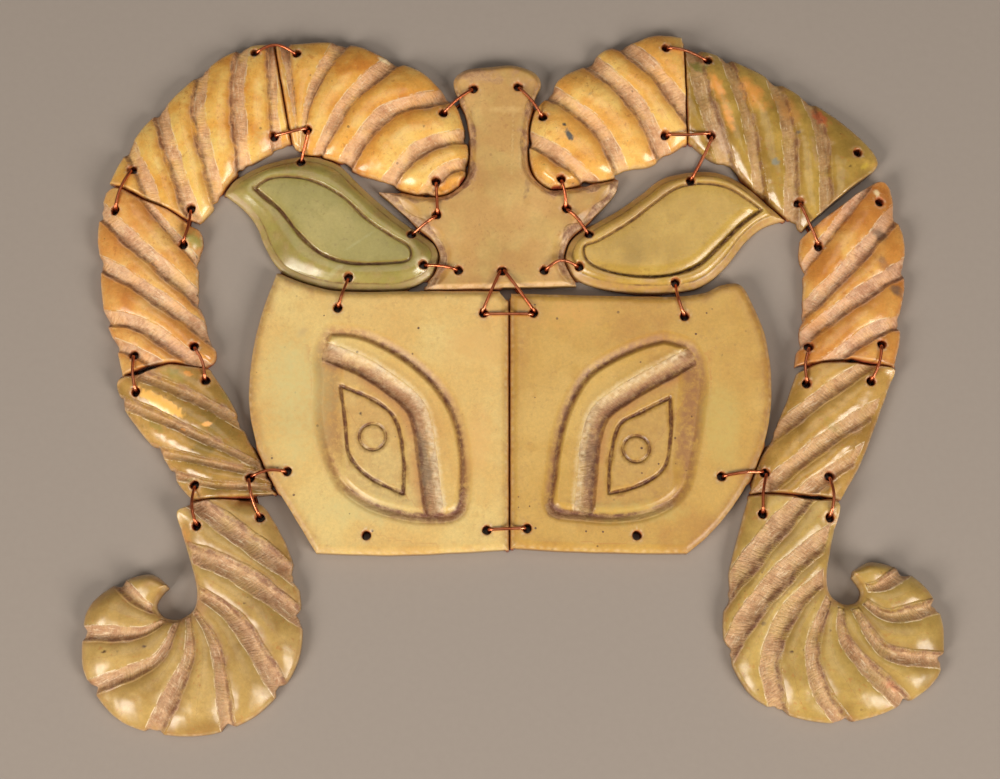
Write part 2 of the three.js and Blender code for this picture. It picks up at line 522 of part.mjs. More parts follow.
// The rows of a horn plaque: three for each flute, one on each ridge, and one at every corner.
function hornRows(plaque, far, near) {
  const straight = (farReach, nearReach) =>
    lanes.map((lane) => far.at(farReach).lerp(near.at(nearReach), lane));
  const between = (a, b, share) => ({
    far: mix(a.far, b.far, share),
    near: mix(a.near, b.near, share),
    inner: a.inner.map((point, i) => point.clone().lerp(b.inner[i], share)),
    flute: 0,
    swell: 0,
  });
  const flutes = plaque.flutes.map(({ width, line }) => ({
    width,
    curve: new THREE.SplineCurve(line.map(vector)),
    far: far.nearest(vector(line[0])),
    near: near.nearest(vector(line.at(-1))),
  }));
  const rows = [{ far: 0, near: 0, inner: straight(0, 0), flute: 0, swell: 0 }];
  flutes.forEach((flute, i) => {
    const neighbours = [flutes[i - 1], flutes[i + 1]].filter(Boolean);
    const room = (chain, side) =>
      Math.min(...neighbours.map((other) => chain.at(other[side]).distanceTo(chain.at(flute[side]))));
    const farWidth = Math.min(flute.width, room(far, "far") * horn.fluteShare);
    const nearWidth = Math.min(flute.width, room(near, "near") * horn.fluteShare);
    const normalAt = (share) => flute.curve.getTangent(share).rotateAround(origin, Math.PI / 2);
    const turn = Math.sign(normalAt(0).dot(far.tangent(flute.far))) || 1;
    for (const side of [-1, 0, 1]) {
      const spread = (chain, reach, share, width) => {
        const slant = Math.max(steepest, Math.abs(normalAt(share).dot(chain.tangent(reach))));
        return THREE.MathUtils.clamp(reach + (side * width) / 2 / slant, 0, chain.length);
      };
      rows.push({
        far: spread(far, flute.far, 0, farWidth),
        near: spread(near, flute.near, 1, nearWidth),
        inner: lanes.map((lane) => {
          const width = mix(farWidth, nearWidth, lane);
          const offset = normalAt(lane).multiplyScalar((turn * side * width) / 2);
          return flute.curve.getPoint(lane).add(offset);
        }),
        flute: side === 0 ? 1 : 0,
        swell: 0,
      });
    }
  });
  rows.push({
    far: far.length,
    near: near.length,
    inner: straight(far.length, near.length),
    flute: 0,
    swell: 0,
  });
  for (let i = 1; i < rows.length; i++) {
    rows[i].far = Math.max(rows[i].far, rows[i - 1].far);
    rows[i].near = Math.max(rows[i].near, rows[i - 1].near);
  }
  const withRidges = [rows[0]];
  rows.slice(1).forEach((row, i) => {
    const previous = rows[i];
    const breadth = (row.far - previous.far + row.near - previous.near) / 2;
    if (!previous.flute && !row.flute && breadth > horn.broadRidge) {
      withRidges.push({ ...between(previous, row, 0.5), swell: 1 });
    }
    withRidges.push(row);
  });
  return addCorners(withRidges, far, near, between);
}

// Adds rows where an outline turns a corner or bows away from the chord between two rows.
function addCorners(rows, far, near, between) {
  const least = 0.4; // rows closer than this share one
  const result = [rows[0]];
  for (const row of rows.slice(1)) {
    const previous = result.at(-1);
    const shares = [];
    for (const [chain, side] of [[far, "far"], [near, "near"]]) {
      const span = row[side] - previous[side];
      for (const corner of chain.corners) {
        if (corner > previous[side] + least && corner < row[side] - least) {
          shares.push((corner - previous[side]) / span);
        }
      }
      const middle = chain.at(mix(previous[side], row[side], 0.5));
      const chord = chain.at(previous[side]).add(chain.at(row[side])).multiplyScalar(0.5);
      if (middle.distanceTo(chord) > slack.bow) shares.push(0.5);
    }
    shares.sort((a, b) => a - b);
    shares.filter((share, i) => i === 0 || share - shares[i - 1] > 0.1).forEach((share) => {
      result.push({ ...between(previous, row, share), swell: mix(previous.swell, row.swell, share) });
    });
    result.push(row);
  }
  for (const [chain, side] of [[far, "far"], [near, "near"]]) {
    for (const corner of chain.corners) {
      const closest = result.reduce((a, b) =>
        Math.abs(a[side] - corner) <= Math.abs(b[side] - corner) ? a : b);
      closest[side] = corner;
    }
  }
  return result;
}

// A domed horn plaque: thickest along its middle, with flutes sunk across it.
function hornSolid(plaque) {
  const { farStart = [], nearStart = [], nearEnd = [] } = plaque;
  const far = new Chain([[...farStart, plaque.far[0]], plaque.far]);
  const near = new Chain([[...nearStart, plaque.near[0]], plaque.near, [plaque.near.at(-1), ...nearEnd]]);
  const farEdge = new Chain([plaque.far]);
  const nearEdge = new Chain([plaque.near]);
  const heightAt = (point, row) => {
    const toFar = farEdge.distance(point);
    const toNear = nearEdge.distance(point);
    const share = Math.min(toFar, toNear) / (toFar + toNear);
    const dome = 1 - (1 - 2 * share) ** 3;
    const height = mix(horn.edge, horn.crown, dome);
    const depth = horn.fluteDepth * row.flute * mix(horn.rimDepth, 1, dome);
    return height + horn.swell * row.swell * dome - depth;
  };
  const sections = hornRows(plaque, far, near).map((row) => {
    const ends = [
      [far.at(row.far), row.inner[0]],
      [near.at(row.near), row.inner.at(-1)],
    ];
    const [farEnd, nearEnd] = ends.map(([end, inside]) => {
      const fromEdge = Math.min(farEdge.distance(end), nearEdge.distance(end));
      const inward = inside.clone().sub(end).normalize();
      return fromEdge < onEdge ? end.add(inward.multiplyScalar(horn.notch * row.flute)) : end;
    });
    const top = [farEnd, ...row.inner, nearEnd].map((point) => raised(point, heightAt(point, row)));
    return [raised(farEnd, 0), ...top, raised(nearEnd, 0)];
  });
  return loft(sections);
}

// A leaf-shaped ear: rounded edge, flat rim, an incised line and a slightly domed panel.
function earSolid({ outline, panel }) {
  const count = ear.points;
  const around = (points) => {
    const closed = new THREE.SplineCurve([...points, points[0]].map(vector));
    return closed.getSpacedPoints(count).slice(0, -1);
  };
  const leaf = around(outline);
  const inset = around(panel);
  const middle = inset.reduce((sum, p) => sum.add(p), new THREE.Vector2()).divideScalar(count);
  const rim = (share, z) => leaf.map((point, i) => raised(point.clone().lerp(inset[i], share), z));
  const within = (share, z) => inset.map((point) => raised(point.clone().lerp(middle, share), z));
  const sections = [
    rim(0, 0),
    rim(0, ear.edge),
    rim(0.3, ear.shoulder),
    rim(0.9, ear.rim),
    within(0, ear.line),
    within(0.06, ear.panel),
  ];
  return loft(sections, { cap: levelCap });
}

// A flat plate with its front edge bevelled.
function plateSolid(outline, { thickness, bevel }) {
  const rim = loopOf(outline, slack.outline);
  if (THREE.ShapeUtils.isClockWise(rim)) rim.reverse();
  const inner = rim.map((point, i) => {
    const before = point.clone().sub(rim.at(i - 1)).normalize();
    const after = rim[(i + 1) % rim.length].clone().sub(point).normalize();
    const inward = before.clone().add(after).rotateAround(origin, Math.PI / 2).normalize();
    const squareness = inward.dot(before.rotateAround(origin, Math.PI / 2));
    return point.clone().addScaledVector(inward, bevel / squareness);
  });
  const sections = [
    rim.map((point) => raised(point, 0)),
    rim.map((point) => raised(point, thickness - bevel)),
    inner.map((point) => raised(point, thickness)),
  ];
  return loft(sections, { cap: levelCap });
}

// A V-shaped cutter that follows a path across the top of a plate.
function vCutter(path, width, depth, top, ring) {
  const half = (width / 2) * (1 + overshoot / depth);
  const count = path.length;
  const sections = path.map((point, i) => {
    const before = path[ring ? (i + count - 1) % count : Math.max(i - 1, 0)];
    const after = path[ring ? (i + 1) % count : Math.min(i + 1, count - 1)];
    const along = after.clone().sub(before).normalize();
    const across = new THREE.Vector2(-along.y, along.x).multiplyScalar(half);
    return [
      raised(point.clone().add(across), top + overshoot),
      raised(point, top - depth),
      raised(point.clone().sub(across), top + overshoot),
    ];
  });
  return loft(sections, { ring });
}

// A face plate with its eye in low relief.
function faceSolid({ outline, moat, lid, almond, pupilAt }) {
  const top = face.thickness;
  const moatLoop = loopOf([[...moat, moat[0]]], slack.relief);
  const lidPath = thin(smoothRun(lid), slack.relief);
  const pupilRing = [];
  for (let i = 0; i < pupil.sides; i++) {
    const spoke = new THREE.Vector2(pupil.radius, 0);
    pupilRing.push(spoke.rotateAround(origin, (i * 2 * Math.PI) / pupil.sides).add(vector(pupilAt)));
  }
  return plateSolid(outline, face)
    .subtract(vCutter(moatLoop, eye.moatWidth, eye.moatDepth, top, true))
    .subtract(vCutter(lidPath, eye.lidWidth, eye.lidDepth, top, false))
    .subtract(vCutter(loopOf(almond, slack.relief), eye.lineWidth, eye.lineDepth, top, true))
    .subtract(vCutter(pupilRing, eye.lineWidth, eye.lineDepth, top, true));
}

// Where each tie's two legs stand in their holes: towards each other, or side by side when shared.
function legPlaces(plaques) {
  const holeOf = (name, number) => vector(plaques.get(name).holes[number]);
  const uses = new Map();
  for (const [name, plaqueA, holeA, plaqueB, holeB] of ties) {
    for (const [here, number, there, other] of [
      [plaqueA, holeA, plaqueB, holeB],
      [plaqueB, holeB, plaqueA, holeA],
    ]) {
      const centre = holeOf(here, number);
      const towards = holeOf(there, other).sub(centre).normalize();
      const key = here + number;
      uses.set(key, [...(uses.get(key) ?? []), { name, here, centre, towards }]);
    }
  }
  const legs = new Map();
  for (const shared of uses.values()) {
    for (const leg of shared) {
      const other = shared.find((use) => use !== leg);
      const side = other ? leg.towards.clone().sub(other.towards).normalize() : leg.towards;
      const place = leg.centre.clone().addScaledVector(side, wire.legOffset);
      legs.set(leg.name, [...(legs.get(leg.name) ?? []), { plaque: leg.here, place }]);
    }
  }
  return legs;
}

function drillCutter([x, y]) {
  const length = 4 * horn.crown;
  const bit = new THREE.CylinderGeometry(drill.radius, drill.radius, length, drill.sides);
  return solidOf(bit.rotateX(Math.PI / 2).translate(x, y, 0));
}

function backCutter(a, b) {
  const along = b.clone().sub(a).normalize();
  const across = along.rotateAround(origin, Math.PI / 2);
  const half = (backGroove.width / 2) * (1 + overshoot / backGroove.depth);
  return loft([a, b].map((end) => [
    raised(end.clone().addScaledVector(across, half), -overshoot),
    raised(end, backGroove.depth),
    raised(end.clone().addScaledVector(across, -half), -overshoot),
  ]));
}

// A tie is a closed loop: up through one hole, over the seam, down the other and back behind.
function tieSolid([a, b], surfaceAt) {
  const samples = 24;
  const reach = b.distanceTo(a);
  const clear = wire.radius + wire.lift;
  const along = b.clone().sub(a).normalize();
  const across = along.clone().rotateAround(origin, Math.PI / 2);
  const heightAt = (place) => {
    const sides = [-1, 0, 1].map((side) => place.clone().addScaledVector(across, side * wire.radius));
    return Math.max(...sides.map(surfaceAt)) + clear;
  };
  const overRim = (place, way) => {
    const steps = [0.5, 0.75, 1].map((step) => step * drill.radius * way);
    return Math.max(...steps.map((step) => heightAt(place.clone().addScaledVector(along, step))));
  };
  const startHeight = overRim(a, 1);
  const endHeight = overRim(b, -1);
  const rise = (share) => Math.min(1, 3 * share, 3 * (1 - share));
  let arch = wire.arch;
  for (let i = 1; i < samples; i++) {
    const share = i / samples;
    const needed = heightAt(a.clone().lerp(b, share)) - mix(startHeight, endHeight, share);
    arch = Math.max(arch, needed / rise(share));
  }
  const over = [0, 1 / 3, 2 / 3, 1].map((share) => {
    const height = mix(startHeight, endHeight, share) + arch * rise(share);
    return new THREE.Vector2(share * reach, height);
  });
  const loop = [new THREE.Vector2(0, wire.level), ...over, new THREE.Vector2(reach, wire.level)];
  const sections = loop.map((point, i) => {
    const before = point.clone().sub(loop.at(i - 1)).normalize();
    const after = loop[(i + 1) % loop.length].clone().sub(point).normalize();
    const outward = before.clone().add(after).rotateAround(origin, Math.PI / 2).normalize();
    const mitre = wire.radius / outward.dot(before.rotateAround(origin, Math.PI / 2));
    const section = [];
    for (let k = 0; k < wire.sides; k++) {
      const turn = (k * 2 * Math.PI) / wire.sides;
      const bent = point.clone().addScaledVector(outward, mitre * Math.cos(turn));
      const place = a.clone().addScaledVector(along, bent.x);
      section.push(raised(place.addScaledVector(across, wire.radius * Math.sin(turn)), bent.y));
    }
    return section;
  });
  return loft(sections, { ring: true });
}

// Assembly
const plaques = new Map();
for (const plaque of hornPlaques) plaques.set(plaque.name, { ...plaque, solid: hornSolid(plaque) });
for (const plaque of ears) plaques.set(plaque.name, { ...plaque, solid: earSolid(plaque) });
for (const plaque of facePlaques) plaques.set(plaque.name, { ...plaque, solid: faceSolid(plaque) });
plaques.set(foreheadPlaque.name, {
  ...foreheadPlaque,
  solid: plateSolid(foreheadPlaque.outline, forehead),
});

const legs = legPlaces(plaques);
const stones = new THREE.Group();
for (const plaque of plaques.values()) {
  let solid = plaque.solid;
  for (const hole of plaque.holes) solid = solid.subtract(drillCutter(hole));
  for (const [first, second] of legs.values()) {
    if (first.plaque === plaque.name || second.plaque === plaque.name) {
      solid = solid.subtract(backCutter(first.place, second.place));
    }
  }
  stones.add(meshOf(solid, plaque.name, jades[plaque.jade]));
}

// The height of the carved surface under a point, or nought in a gap.
const ray = new THREE.Raycaster();
const down = new THREE.Vector3(0, 0, -1);
function surfaceAt(point) {
  ray.set(raised(point, 20), down);
  const hit = ray.intersectObjects(stones.children)[0];
  return hit ? hit.point.z : 0;
}

const lacing = new THREE.Group();
for (const [name, [first, second]] of legs) {
  lacing.add(meshOf(tieSolid([first.place, second.place], surfaceAt), name, copper));
}

const mask = new THREE.Group();
mask.add(stones, lacing);

export default mask;
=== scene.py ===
# A ram's-head face cover: fifteen carved jade plaques laced edge to edge with copper wire.
# It lies face up on its flat back. Sizes are in millimetres and turn into metres as each mesh is made.
# Left and right are the viewer's. A horn runs from the brow out, down and round into its curl.
import math

import bpy
import numpy as np
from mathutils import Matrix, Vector, kdtree
from mathutils.bvhtree import BVHTree
from mathutils.geometry import delaunay_2d_cdt


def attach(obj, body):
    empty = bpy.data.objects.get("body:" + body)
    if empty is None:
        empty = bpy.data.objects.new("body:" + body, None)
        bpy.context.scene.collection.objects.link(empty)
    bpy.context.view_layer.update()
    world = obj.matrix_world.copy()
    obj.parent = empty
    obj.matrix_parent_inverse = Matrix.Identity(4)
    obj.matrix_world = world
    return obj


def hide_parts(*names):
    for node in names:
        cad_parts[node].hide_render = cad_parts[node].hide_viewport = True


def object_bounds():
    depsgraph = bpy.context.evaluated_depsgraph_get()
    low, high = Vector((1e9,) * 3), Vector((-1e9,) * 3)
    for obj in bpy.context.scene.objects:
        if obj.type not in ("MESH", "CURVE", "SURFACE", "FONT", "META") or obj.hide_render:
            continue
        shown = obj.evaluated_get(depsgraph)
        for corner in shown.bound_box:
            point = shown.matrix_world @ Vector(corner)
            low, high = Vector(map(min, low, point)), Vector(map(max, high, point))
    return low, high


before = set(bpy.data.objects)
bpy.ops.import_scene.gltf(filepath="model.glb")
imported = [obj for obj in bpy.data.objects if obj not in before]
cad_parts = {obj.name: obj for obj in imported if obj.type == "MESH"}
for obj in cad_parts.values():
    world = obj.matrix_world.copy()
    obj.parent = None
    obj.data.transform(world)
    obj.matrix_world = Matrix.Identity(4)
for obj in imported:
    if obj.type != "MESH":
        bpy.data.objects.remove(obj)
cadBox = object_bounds()
mm = 0.001
scene = bpy.context.scene
scene.view_settings.view_transform = "Standard"


def intoScene(name, data):
    thing = bpy.data.objects.new(name, data)
    scene.collection.objects.link(thing)
    return thing


# Camera, as the photo was taken: from above, tipped ten degrees towards the muzzle
cameraView = {"place": (-3.73, -122.81, 678.32), "tilt": 10, "lens": 85, "sensor": 36}
cameraData = bpy.data.cameras.new("camera")
cameraData.lens = cameraView["lens"]
cameraData.sensor_width = cameraView["sensor"]
camera = intoScene("camera", cameraData)
camera.location = Vector(cameraView["place"]) * mm
camera.rotation_euler = (math.radians(cameraView["tilt"]), 0, 0)
scene.camera = camera


def linear(colour):
    # screen values from 0 to 255 as linear light
    shares = [part / 255 for part in colour]
    return tuple(s / 12.92 if s <= 0.04045 else ((s + 0.055) / 1.055) ** 2.4 for s in shares) + (1,)


# Light: two wide soft lamps on the muzzle side, a softer one overhead, and a little from all round
studio = {
    "lamps": [
        {"name": "left_lamp", "at": (-900, -840, 820), "size": (620, 620), "power": 16.5},
        {"name": "right_lamp", "at": (940, -760, 820), "size": (620, 620), "power": 15},
        {"name": "top_lamp", "at": (40, 260, 1300), "size": (900, 700), "power": 2.6},
    ],
    "lampColour": (255, 246, 234),
    "aimedAt": (0, 0, 0),
    "roomColour": (255, 250, 244),
    "roomStrength": 0.1,
    "floorColour": (158, 149, 142),
    "floorPaler": 1.06,  # how much paler its grain is
    "floorGrain": 500.0,
    "floorRoughness": 0.9,
    "floorShine": 0.2,
    "floorReach": 2500,
}
for lamp in studio["lamps"]:
    data = bpy.data.lights.new(lamp["name"], "AREA")
    data.shape = "RECTANGLE"
    data.size, data.size_y = (side * mm for side in lamp["size"])
    data.energy = lamp["power"]
    data.color = linear(studio["lampColour"])[:3]
    light = intoScene(lamp["name"], data)
    light.location = Vector(lamp["at"]) * mm
    aim = (Vector(studio["aimedAt"]) - Vector(lamp["at"])).to_track_quat("-Z", "Y")
    light.rotation_euler = aim.to_euler()
world = bpy.data.worlds.new("room")
world.use_nodes = True
room = world.node_tree.nodes["Background"].inputs
room["Color"].default_value = linear(studio["roomColour"])
room["Strength"].default_value = studio["roomStrength"]
scene.world = world
print("camera and lights ready")


# The plaques: outlines, flutes, holes and reliefs, in the same places as the solids. A flute is its
# width and then the points of its line, from the far edge to the near one.
hornPlaques = [
    {
        "name": "left_horn_plaque_1",
        "far": [[-70.5, 101], [-63.5, 101], [-54.5, 101.5], [-45.5, 100], [-36.5, 96], [-27.5, 92.5],
            [-21.5, 87], [-17, 82], [-14.5, 75], [-13, 67.5], [-14, 60]],
        "near": [[-64.5, 69], [-62, 67.5], [-56.5, 66.3], [-51, 64.7], [-45.5, 61], [-39, 59],
            [-32.5, 56], [-26, 54.2], [-19.6, 54.9], [-16.2, 57]],
        "flutes": [
            (3, [-67.5, 99], [-64.8, 82.5], [-62.8, 68.5]),
            (5.4, [-52, 99], [-59.5, 84], [-62.5, 67.5]),
            (5.8, [-36.5, 94], [-48, 82.5], [-57.5, 66.5]),
            (5.4, [-22, 83.5], [-37.5, 78], [-49.5, 63.5]),
            (5, [-15, 71.5], [-27, 67.5], [-37, 57.5]),
            (4.2, [-13.5, 63], [-20, 60.5], [-26, 54]),
        ],
        "holes": [[-64, 97], [-60.5, 73.5], [-20.5, 78.5], [-22.5, 58]],
    },
    {
        "name": "left_horn_plaque_2",
        "far": [[-71.5, 101], [-79.5, 100], [-87.5, 96], [-95.5, 89.5], [-102.5, 82.5], [-110, 74.5],
            [-115.5, 65.5], [-119, 58]],
        "near": [[-66, 70.5], [-73, 66.5], [-79.5, 62.5], [-84.5, 57.5], [-87.5, 51.5], [-92, 46]],
        "nearEnd": [[-96, 47.5], [-104.5, 51.5], [-114.5, 56.5]],
        "flutes": [
            (3.2, [-71.8, 99], [-71, 84], [-69.8, 68]),
            (4.8, [-80.5, 98.5], [-81.5, 85.5], [-79.5, 62]),
            (4.8, [-92.5, 90], [-93, 79.5], [-91, 69], [-87, 53.5]),
            (5.1, [-104, 78], [-102, 70.5], [-94.5, 48.5]),
            (5.2, [-112, 65.5], [-109.5, 60.5], [-105.5, 51.5]),
        ],
        "holes": [[-76.5, 97.5], [-70.5, 72], [-112, 61.5], [-94.5, 50]],
    },
    {
        "name": "left_horn_plaque_3",
        "farStart": [[-101.5, 49.4], [-110, 52.8], [-116.5, 56]],
        "far": [[-120, 55], [-121.5, 48.5], [-122, 41], [-121, 33.5], [-120.5, 26], [-119, 17],
            [-116, 9.5], [-113.5, 0.5]],
        "near": [[-95.5, 45.5], [-92, 43.5], [-91, 40], [-92, 35.5], [-92, 26], [-90, 17], [-88, 11.5],
            [-86.5, 7.5], [-87, 4.5], [-89, 3]],
        "nearEnd": [[-93.5, 3], [-98.5, 4], [-105.5, 3]],
        "flutes": [
            (2.8, [-107.5, 51.5], [-101, 43.5], [-92, 33.5]),
            (5.5, [-120, 48], [-110, 38.5], [-91.5, 22.5]),
            (5.3, [-120, 33], [-108.5, 26], [-89, 12.5]),
            (5.5, [-118.5, 17], [-107, 14], [-92, 3.5]),
            (4.2, [-115.5, 9], [-110.5, 7], [-103.5, 3]),
        ],
        "holes": [[-116.5, 49], [-96.5, 39], [-110, 6], [-92.5, 8.5]],
    },
    {
        "name": "left_horn_plaque_4",
        "farStart": [[-99.5, 3], [-108, 0.5], [-114, -1]],
        "far": [[-115, -3.5], [-112.5, -10], [-106.5, -18], [-101, -24], [-96.5, -31.5], [-92.5, -36]],
        "near": [[-88, 2], [-82, -7], [-76.5, -18.5], [-71.8, -27], [-68.4, -34.3]],
        "nearEnd": [[-74, -35], [-83, -35.5]],
        "flutes": [
            (4.4, [-106.5, -0.5], [-93.5, -6], [-79.5, -13]),
            (4.7, [-112, -8], [-97.5, -14.5], [-74.5, -25.5]),
            (3.7, [-102.5, -22], [-90, -25], [-72, -29]),
            (3, [-97, -29], [-85.5, -32], [-69, -32.5]),
        ],
        "holes": [[-109, -5], [-89, -1.5], [-91.5, -32], [-75.5, -30]],
    },
    {
        "name": "left_horn_curl",
        "farStart": [[-87.5, -36.4], [-91, -37], [-93.4, -38.2], [-96.3, -39.8]],
        "far": [[-95.5, -44.5], [-93.5, -51], [-91.5, -57.5], [-90.5, -62.5], [-91, -67], [-93.5, -69.5],
            [-96.5, -70.5], [-100, -69.5], [-102, -66.5], [-100.5, -63.5], [-98.5, -61.5]],
        "near": [[-78.5, -36.1], [-73.4, -37], [-70.3, -39.8], [-64.5, -50.5], [-61, -63.5], [-60.5, -79],
            [-65.5, -90], [-76, -99.5], [-91.5, -103.5], [-110, -100], [-121, -88], [-123, -76.5],
            [-121, -66.5], [-113, -60], [-104, -57.5], [-99, -60.5]],
        "flutes": [
            (5.3, [-90.5, -37.5], [-76.5, -47.5], [-63, -57.5]),
            (5.3, [-93, -51], [-78, -57.5], [-61, -69.5]),
            (5.3, [-90, -62.5], [-78, -71.5], [-66, -90.5]),
            (4.7, [-91, -67.5], [-84, -79.5], [-80.5, -102]),
            (6, [-92.5, -69.5], [-92, -82], [-101.5, -102.5]),
            (5.1, [-95.5, -71], [-101.5, -82.5], [-120, -90]),
            (5.1, [-98, -70], [-106, -74.5], [-122, -74.5]),
            (4, [-101, -68.5], [-106, -66], [-112, -60.5]),
        ],
        "holes": [[-90.5, -44], [-72.5, -41.5]],
    },
    {
        "name": "right_horn_plaque_1",
        "far": [[50.5, 103], [42.5, 103.5], [35, 101], [27.5, 99], [22, 94.5], [14.5, 90.5], [11, 85.5],
            [7, 80.5], [5, 73], [5, 65.5], [7, 59.5], [11, 56.5]],
        "near": [[51.5, 70.5], [47, 67.5], [40.5, 63.5], [34, 62.5], [29.5, 59.5], [22, 58], [15, 56.5]],
        "flutes": [
            (5.5, [34, 99], [42, 91], [50.5, 79.5]),
            (5.5, [23.5, 94.5], [36, 81.5], [45, 65]),
            (5.1, [11.5, 85], [25, 73.5], [32, 61]),
            (5.1, [5.5, 70.5], [14.5, 64.5], [23.5, 57]),
        ],
        "holes": [[45.5, 98.5], [45, 72], [9, 77.5], [14.2, 58.4]],
    },
    {
        "name": "right_horn_plaque_2",
        "far": [[51.2, 99.7], [57.5, 98.5], [66, 95.5], [76, 90.5], [87, 84], [97, 77], [105, 69.5],
            [108, 64.5], [106.5, 61.5]],
        "near": [[52.1, 71], [57.5, 66], [65, 62], [72, 55], [79.5, 48.5], [85, 43.5]],
        "nearEnd": [[90, 48], [99.5, 56]],
        "flutes": [
            (5.5, [54, 97.5], [57, 82.5], [63.5, 62.5]),
            (4, [64, 94.5], [69, 78], [73.5, 53.5]),
            (4.6, [78, 88], [81.5, 72], [82, 44.5]),
            (4, [88, 82.5], [91.5, 69], [92, 50]),
        ],
        "holes": [[58, 95], [58.5, 72], [84, 51.5], [101.5, 66.5]],
    },
    {
        "name": "right_horn_plaque_3",
        "farStart": [[96.5, 50.5], [103, 55.5], [108.5, 58]],
        "far": [[111.5, 56], [113, 48], [115, 41], [115, 33.5], [114.5, 25], [113, 17.5], [113, 11.5],
            [111, 3]],
        "nearStart": [[90.5, 46]],
        "near": [[84.5, 41], [84, 36], [85, 30.5], [85, 24.5], [84, 17], [83, 9.5], [82, 3]],
        "nearEnd": [[88, 4], [98, 5]],
        "flutes": [
            (3.5, [102.5, 54.5], [95, 44.5], [84, 31]),
            (5.3, [112.5, 48.5], [100, 34], [84, 18]),
            (5.3, [114.5, 32], [100, 22.5], [83, 10]),
            (4.9, [113, 16], [103.5, 12], [92.5, 4]),
        ],
        "holes": [[89.5, 38.5], [107.5, 51.5], [86, 8.5], [107, 9]],
    },
    {
        "name": "right_horn_plaque_4",
        "farStart": [[97.5, 3.5], [103.5, 3], [110.5, 2]],
        "far": [[110, -1.5], [106, -12], [100.5, -25.5], [94.5, -36]],
        "nearStart": [[89.5, 3.5]],
        "near": [[82.5, 1], [79, -8.5], [74.5, -18], [70.5, -26.5], [68.5, -34]],
        "nearEnd": [[77, -34], [88, -35]],
        "flutes": [
            (4.7, [102.5, 2.5], [88.5, -7], [74.5, -18]),
            (5.1, [106.5, -9], [90, -19.5], [71, -34.5]),
            (4.7, [101, -22.5], [92.5, -28], [82.5, -35.5]),
        ],
        "holes": [[85, -2.5], [103.5, -2], [72.5, -28.5], [91, -29.5]],
    },
    {
        "name": "right_horn_curl",
        "farStart": [[80, -35.5], [87, -36.5], [93.5, -37.5]],
        "far": [[92.5, -44.5], [90.5, -54], [90, -59.5], [91, -63.5], [94.5, -66], [98, -65.5],
            [99.5, -63], [98.5, -60.5], [97, -58.5]],
        "nearStart": [[74, -35]],
        "near": [[68, -35], [64.5, -47], [61.5, -59], [60, -73.5], [62.5, -83.5], [69, -93], [81.5, -98.5],
            [95.5, -99.5], [111, -94.5], [121, -86.5], [123, -75], [120.5, -64.5], [113, -57],
            [103, -54], [97.5, -56.5]],
        "flutes": [
            (5.1, [84, -36], [73, -47.5], [61, -63]),
            (5.1, [92, -45.5], [78.5, -56.5], [67.5, -69], [61, -80.5]),
            (5.1, [90, -57.5], [79, -68], [73, -82], [75.5, -97]),
            (4.7, [90.5, -63.5], [85, -78], [87, -90.5], [94, -100]),
            (5.1, [93.5, -66], [95, -78], [111, -94.5]),
            (4.7, [96.5, -66], [105.5, -79.5], [122, -82]),
            (4.7, [99, -64.5], [107, -69.5], [121, -66.5]),
            (4.4, [98.5, -61.5], [104.5, -61], [112, -56.5]),
        ],
        "holes": [[71.5, -40.5], [90.8, -41.5]],
    },
]

# Ears: a leaf-shaped rim round an incised panel. The panel starts beside the leaf's first point.
ears = [
    {
        "name": "left_ear_plaque",
        "outline": [[-84.8, 54.6], [-84, 56.5], [-80.8, 60], [-73.7, 63.7], [-66.7, 65.7], [-61, 66.4],
            [-56, 65.6], [-51, 63.4], [-46.8, 59.4], [-42.5, 55.1], [-36.8, 50.1], [-31.3, 45.7],
            [-27, 42.5], [-23.2, 39.7], [-21.8, 36.3], [-22.8, 32.7], [-25, 29.3], [-32.4, 26],
            [-42.2, 25.7], [-52, 26], [-59, 27.6], [-66, 30.4], [-69.7, 33.6], [-72.6, 38.4], [-75, 44.3],
            [-77.8, 48.6], [-81.3, 51.9]],
        "panel": [[-76, 56], [-71.5, 59], [-65, 59.5], [-58, 58], [-50, 53.5], [-42.5, 46.5], [-36, 42],
            [-30.5, 38.5], [-30.5, 34.5], [-37.5, 33.5], [-47.5, 33.5], [-55.5, 36], [-62, 41.5],
            [-68, 49], [-72.5, 53]],
        "holes": [[-62.5, 64.2], [-29.8, 42.3], [-26.2, 33.2], [-48, 29.4]],
    },
    {
        "name": "right_ear_plaque",
        "outline": [[80, 47], [74, 45], [68, 40], [63, 33.5], [57, 28], [49.5, 25.5], [38.5, 25], [28, 26],
            [19, 29], [16, 33], [15.5, 36.5], [17.5, 41], [22.5, 45], [31, 50], [38, 55], [44, 59.5],
            [52, 61.5], [60, 61.5], [67, 58.5], [73.5, 53]],
        "panel": [[73, 49.5], [67, 45], [61, 39], [54.5, 33], [46.5, 30], [37, 29.5], [28, 31], [22, 34],
            [21, 38.5], [25.5, 40.5], [34.5, 46], [41.5, 51.5], [48, 56], [55, 57.5], [62.5, 56.5],
            [68.5, 53]],
        "holes": [[52.3, 58.3], [22.4, 42.3], [19.5, 32.6], [47.5, 27.8]],
    },
]

